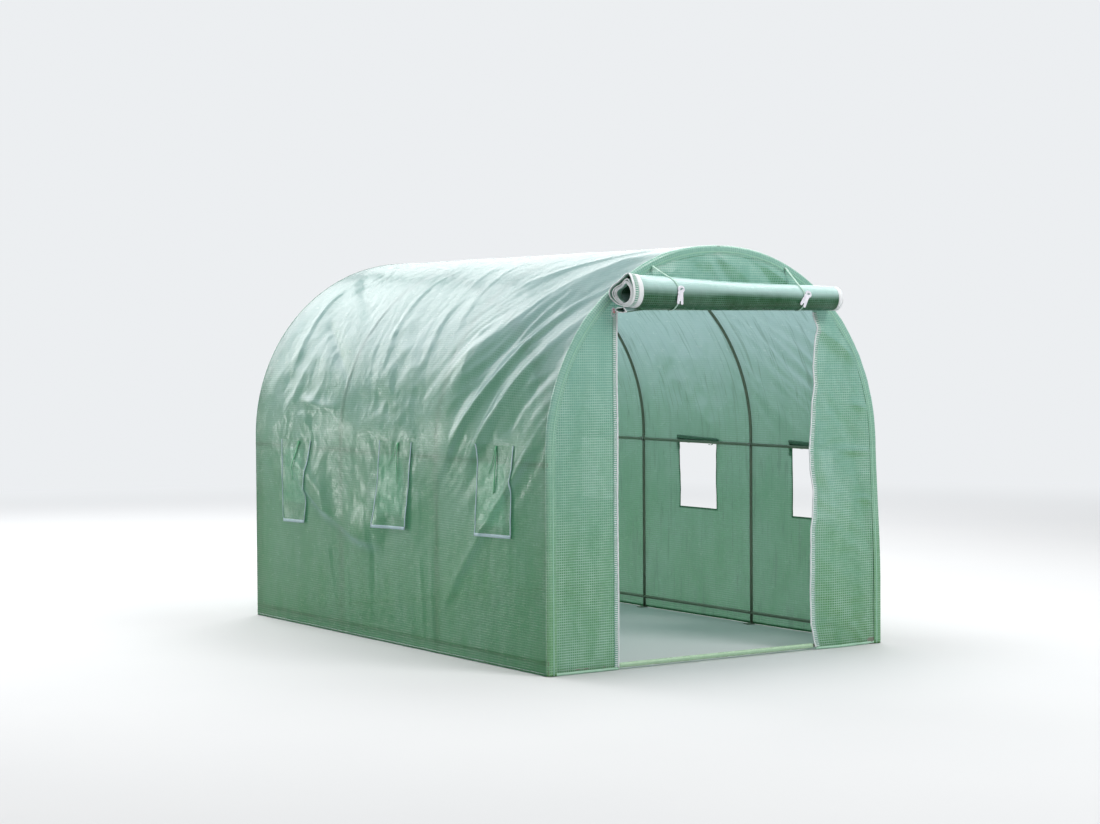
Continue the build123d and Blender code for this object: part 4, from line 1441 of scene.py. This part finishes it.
# A loose end's place: beside its window, off the wall and under the roll, and its bulge
end_beside, end_off, end_under, end_bulge = 0.018, 0.004, 0.012, 0.006
t = np.linspace(0, small_turns, 150)
ys = np.linspace(-small_half, small_half, 20)
angle = np.radians(np.linspace(125, -125, 30))
drop = np.linspace(0, 1, 8)
small_straps = []
for number, place in enumerate(bay_middles):
    grow = 1 + small_uneven * noise(ys * uneven_scale + number * 5.0, np.full(len(ys), 0.5), 131)
    layers = []
    for lift in (-small_film, small_film):
        layer = []
        for y, fuller in zip(ys, grow):
            radius = (small_core + small_grow * t / small_turns) * fuller
            radius = radius * (1 + small_oval * np.cos(2 * (2 * np.pi * t) + oval_turn))
            u = np.concatenate([radius * np.cos(2 * np.pi * t), seam_u])
            w = np.concatenate([radius * np.sin(2 * np.pi * t), seam_w])
            du, dw = np.gradient(u), np.gradient(w)
            norm = np.hypot(du, dw)
            z = small_z + small_lean * y / small_half + w - lift * du / norm
            layer.append(np.stack([small_x + u + lift * dw / norm, np.full(len(u), place + y), z], -1))
        layers.append(np.array(layer))
    run = run_along(layers[0][10])
    small_roll = build(
        f"right_window_flap_roll_{number + 1}", [slab(*layers, woven(ys[:, None], run[None, :]))],
        flap_roll_green, "flap_film", *(["right_window_rolls"] if number == 0 else []),
    )
    for offset in band_places:
        lean = small_lean * offset / small_half
        out = np.stack([np.cos(angle), 0 * angle, np.sin(angle)], -1)
        line = out * band_radius + np.array([small_x, place + offset, small_z + lean])
        across = np.array([-band_half, band_half])
        grid = line[:, None] + np.stack([0 * across, across, 0 * across], -1)[None]
        weave = woven(angle[:, None] * 0.02, across[None, :])
        small_straps.append(slab(grid, grid + out[:, None] * band_thick, weave))
    x = half_width + end_off + end_bulge * np.sin(drop * 2.2)
    y = place + window_width / 2 + end_beside - end_width / 2 + 0.002 * drop
    front_edge = np.stack([x, y, small_z - end_under - end_length * drop], -1)
    lower = np.stack([front_edge, front_edge + np.array([0.001, end_width, 0.002])], 1)
    weave = woven(drop[:, None] * end_length, np.array([[0, end_width]]))
    small_straps.append(slab(lower, lower + np.array([end_thick, 0, 0]), weave, turned=True))
build("right_window_strap_bands", small_straps, green_strap, "tie_band", "right_window_straps")

# Seams, hems and bindings


def cover_strip(v_values, s_values, lift, thick):
    """A closed band on the cover's outside."""
    vg, sg = np.meshgrid(v_values, s_values[::-1], indexing="ij")
    return slab(cover_point(vg, sg, lift), cover_point(vg, sg, lift + thick), woven(vg, sg))


trim_lift, trim_mesh = 0.0005, 0.016
seam_near, seam_far = 0.0142, 0.0212
seam_s = steps([0.0, spring_z, arch_length - spring_z, arch_length], trim_mesh)
for name, sign, corner in (("front", -1, -quarter), ("back", 1, hoop_span + quarter)):
    band_v = corner + sign * np.linspace(-quarter - 0.001, lap - 0.0005, 18)
    edge_v = corner + sign * np.linspace(seam_near, seam_far, 4)
    facing = cover_strip(band_v[::sign], seam_s, trim_lift, 0.0006)
    seam = cover_strip(edge_v[::sign], seam_s, trim_lift, 0.0009)
    build(f"{name}_facing", [facing], facing_green, "cover_film")
    build(f"{name}_seam_edge", [seam], seam_tape, "cover_film")

hem_v = steps([0.0, hoop_span], 0.02)
hem_low, hem_high = 0.001, 0.012
hems = [
    cover_strip(hem_v, np.linspace(a, b, 4), 0.0006, 0.0012)
    for a, b in ((hem_low, hem_high), (arch_length - hem_high, arch_length - hem_low))
]
build("cover_ground_hem", hems, cover_green, "cover_film")

# Bindings round the window openings
hem_width, hem_mesh = 0.009, 0.015
bindings = []
for number, right_place in enumerate(bay_middles):
    for mirrored in (False, True):
        place = right_place if mirrored else left_middles[number]
        width = window_width if mirrored else left_window_width
        bottom = window_bottom if mirrored else left_window_bottom
        v0, v1 = place - hoop_y[0] - width / 2, place - hoop_y[0] + width / 2
        across = steps([v0 - hem_width, v1 + hem_width], hem_mesh)
        sides = (
            (across, (window_top, window_top + hem_width)),
            (across, (bottom - hem_width, bottom)),
            (np.array([v0 - hem_width, v0]), (bottom, window_top)),
            (np.array([v1, v1 + hem_width]), (bottom, window_top)),
        )
        for v_values, ends in sides:
            s_values = steps(ends, hem_mesh)
            if mirrored:
                s_values = arch_length - s_values[::-1]
            bindings.append(cover_strip(v_values, s_values, 0.0004, 0.0008))
build("window_bindings", bindings, cover_green, "cover_film")

# Hems along the ground of the panels beside the door
panel_hems = []
for x0, x1 in ((-panel_half, door_left), (door_right, panel_half)):
    gx, gz = np.meshgrid(steps([x0, x1], side_mesh), np.linspace(0.001, 0.013, 3))
    panel_hems.append(slab(front_point(gx, gz, 0.0006), front_point(gx, gz, 0.0018), woven(gx, gz)))
panel_hem = build("front_panel_ground_hem", panel_hems, hem_tape, "cover_film")

# The area of the tunnel's end outline

end_area = 2 * half_width * spring_z + math.pi / 2 * shoulder_radius**2
end_area += 2 * crown_half * shoulder_radius

# Floor, lamps, world and camera

floor_half, floor_z = 30.0, -0.0015
backdrop_colour = (0.84, 0.86, 0.88)
floor_tones = (0.60, 0.61, 0.62), (0.64, 0.645, 0.65)
world_strength = 0.38
near_floor, far_floor = 4.0, 13.0
mesh = bpy.data.meshes.new("floor")
corners = [(x * floor_half, y * floor_half, floor_z) for x, y in ((-1, -1), (1, -1), (1, 1), (-1, 1))]
mesh.from_pydata(corners, [], [(0, 1, 2, 3)])
n = Nodes(bpy.data.materials.new("floor"))
tone = n.mix(n.noise(n.object_place(), 0.6, 3.0), *floor_tones)
floor_skin = n.node("BsdfPrincipled", Base_Color=tone, Roughness=0.85)
far = n.node("VectorMath", {"operation": "LENGTH"}, Vector=n.object_place())
far_share = n.times(n.span(far.outputs["Value"], near_floor, far_floor), n.backdrop_rays())
glow = n.node("Emission", Color=backdrop_colour, Strength=1.0)
mesh.materials.append(n.finish(n.blend(far_share, floor_skin, glow)))
placed("floor", mesh)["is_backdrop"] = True


def lamp(name, place, target, size, power):
    """A round soft lamp that points at its target."""
    light = bpy.data.lights.new(name, "AREA")
    light.shape = "DISK"
    light.size = size
    light.energy = power
    holder = placed(name, light)
    holder.location = place
    holder.visible_camera = False
    direction = Vector(target) - Vector(place)
    holder.rotation_euler = direction.to_track_quat("-Z", "Y").to_euler()


lamp("overhead", (-1.8, 0.5, 7.5), (0, 0, 1), 4.0, 220)
lamp("left_side", (-8.0, 1.0, 6.0), (0, 0, 1), 3.0, 80)
lamp("low_left", (-7.0, 10.3, 1.4), (-1, 0, 0.8), 2.0, 120)
lamp("front", (2.2, -8.0, 7.0), (0, -1, 1), 4.0, 510)
lamp("right_top", (3.8, -0.3, 6.9), (0, -1.0, 1.5), 4.0, 200)
lamp("behind", (-1.5, 9.5, 5.6), (-0.5, 0, 1.5), 7.5, 660)
lamp("behind_right", (5.6, 7.6, 6.0), (0, 0, 1.9), 7.0, 360)

world = bpy.data.worlds.new("studio")
bpy.context.scene.world = world
n = Nodes(world, "OutputWorld")
soft_light = n.node("Background", Color=(1.0, 1.0, 1.0), Strength=world_strength)
backdrop = n.node("Background", Color=backdrop_colour, Strength=1.0)
n.finish(n.blend(n.backdrop_rays(), soft_light, backdrop))

camera_place, camera_lens = (-6.841, -10.254, 1.561), 75.64
camera_yaw, camera_pitch, camera_roll = (math.radians(a) for a in (33.55, -1.84, -0.37))
level = Vector((math.cos(camera_yaw), -math.sin(camera_yaw), 0))
ahead = Vector((math.sin(camera_yaw), math.cos(camera_yaw), 0))
forward = math.cos(camera_pitch) * ahead + math.sin(camera_pitch) * Vector((0, 0, 1))
upward = level.cross(forward)
right_axis = math.cos(camera_roll) * level + math.sin(camera_roll) * upward
up_axis = -math.sin(camera_roll) * level + math.cos(camera_roll) * upward
camera = bpy.data.cameras.new("camera")
camera.sensor_width = 36
camera.lens = camera_lens
camera_object = placed("camera", camera)
turned = Matrix((right_axis, up_axis, -forward)).transposed().to_4x4()
camera_object.matrix_world = Matrix.Translation(camera_place) @ turned
bpy.context.scene.camera = camera_object
bpy.context.scene.view_settings.view_transform = "Standard"

low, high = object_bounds()
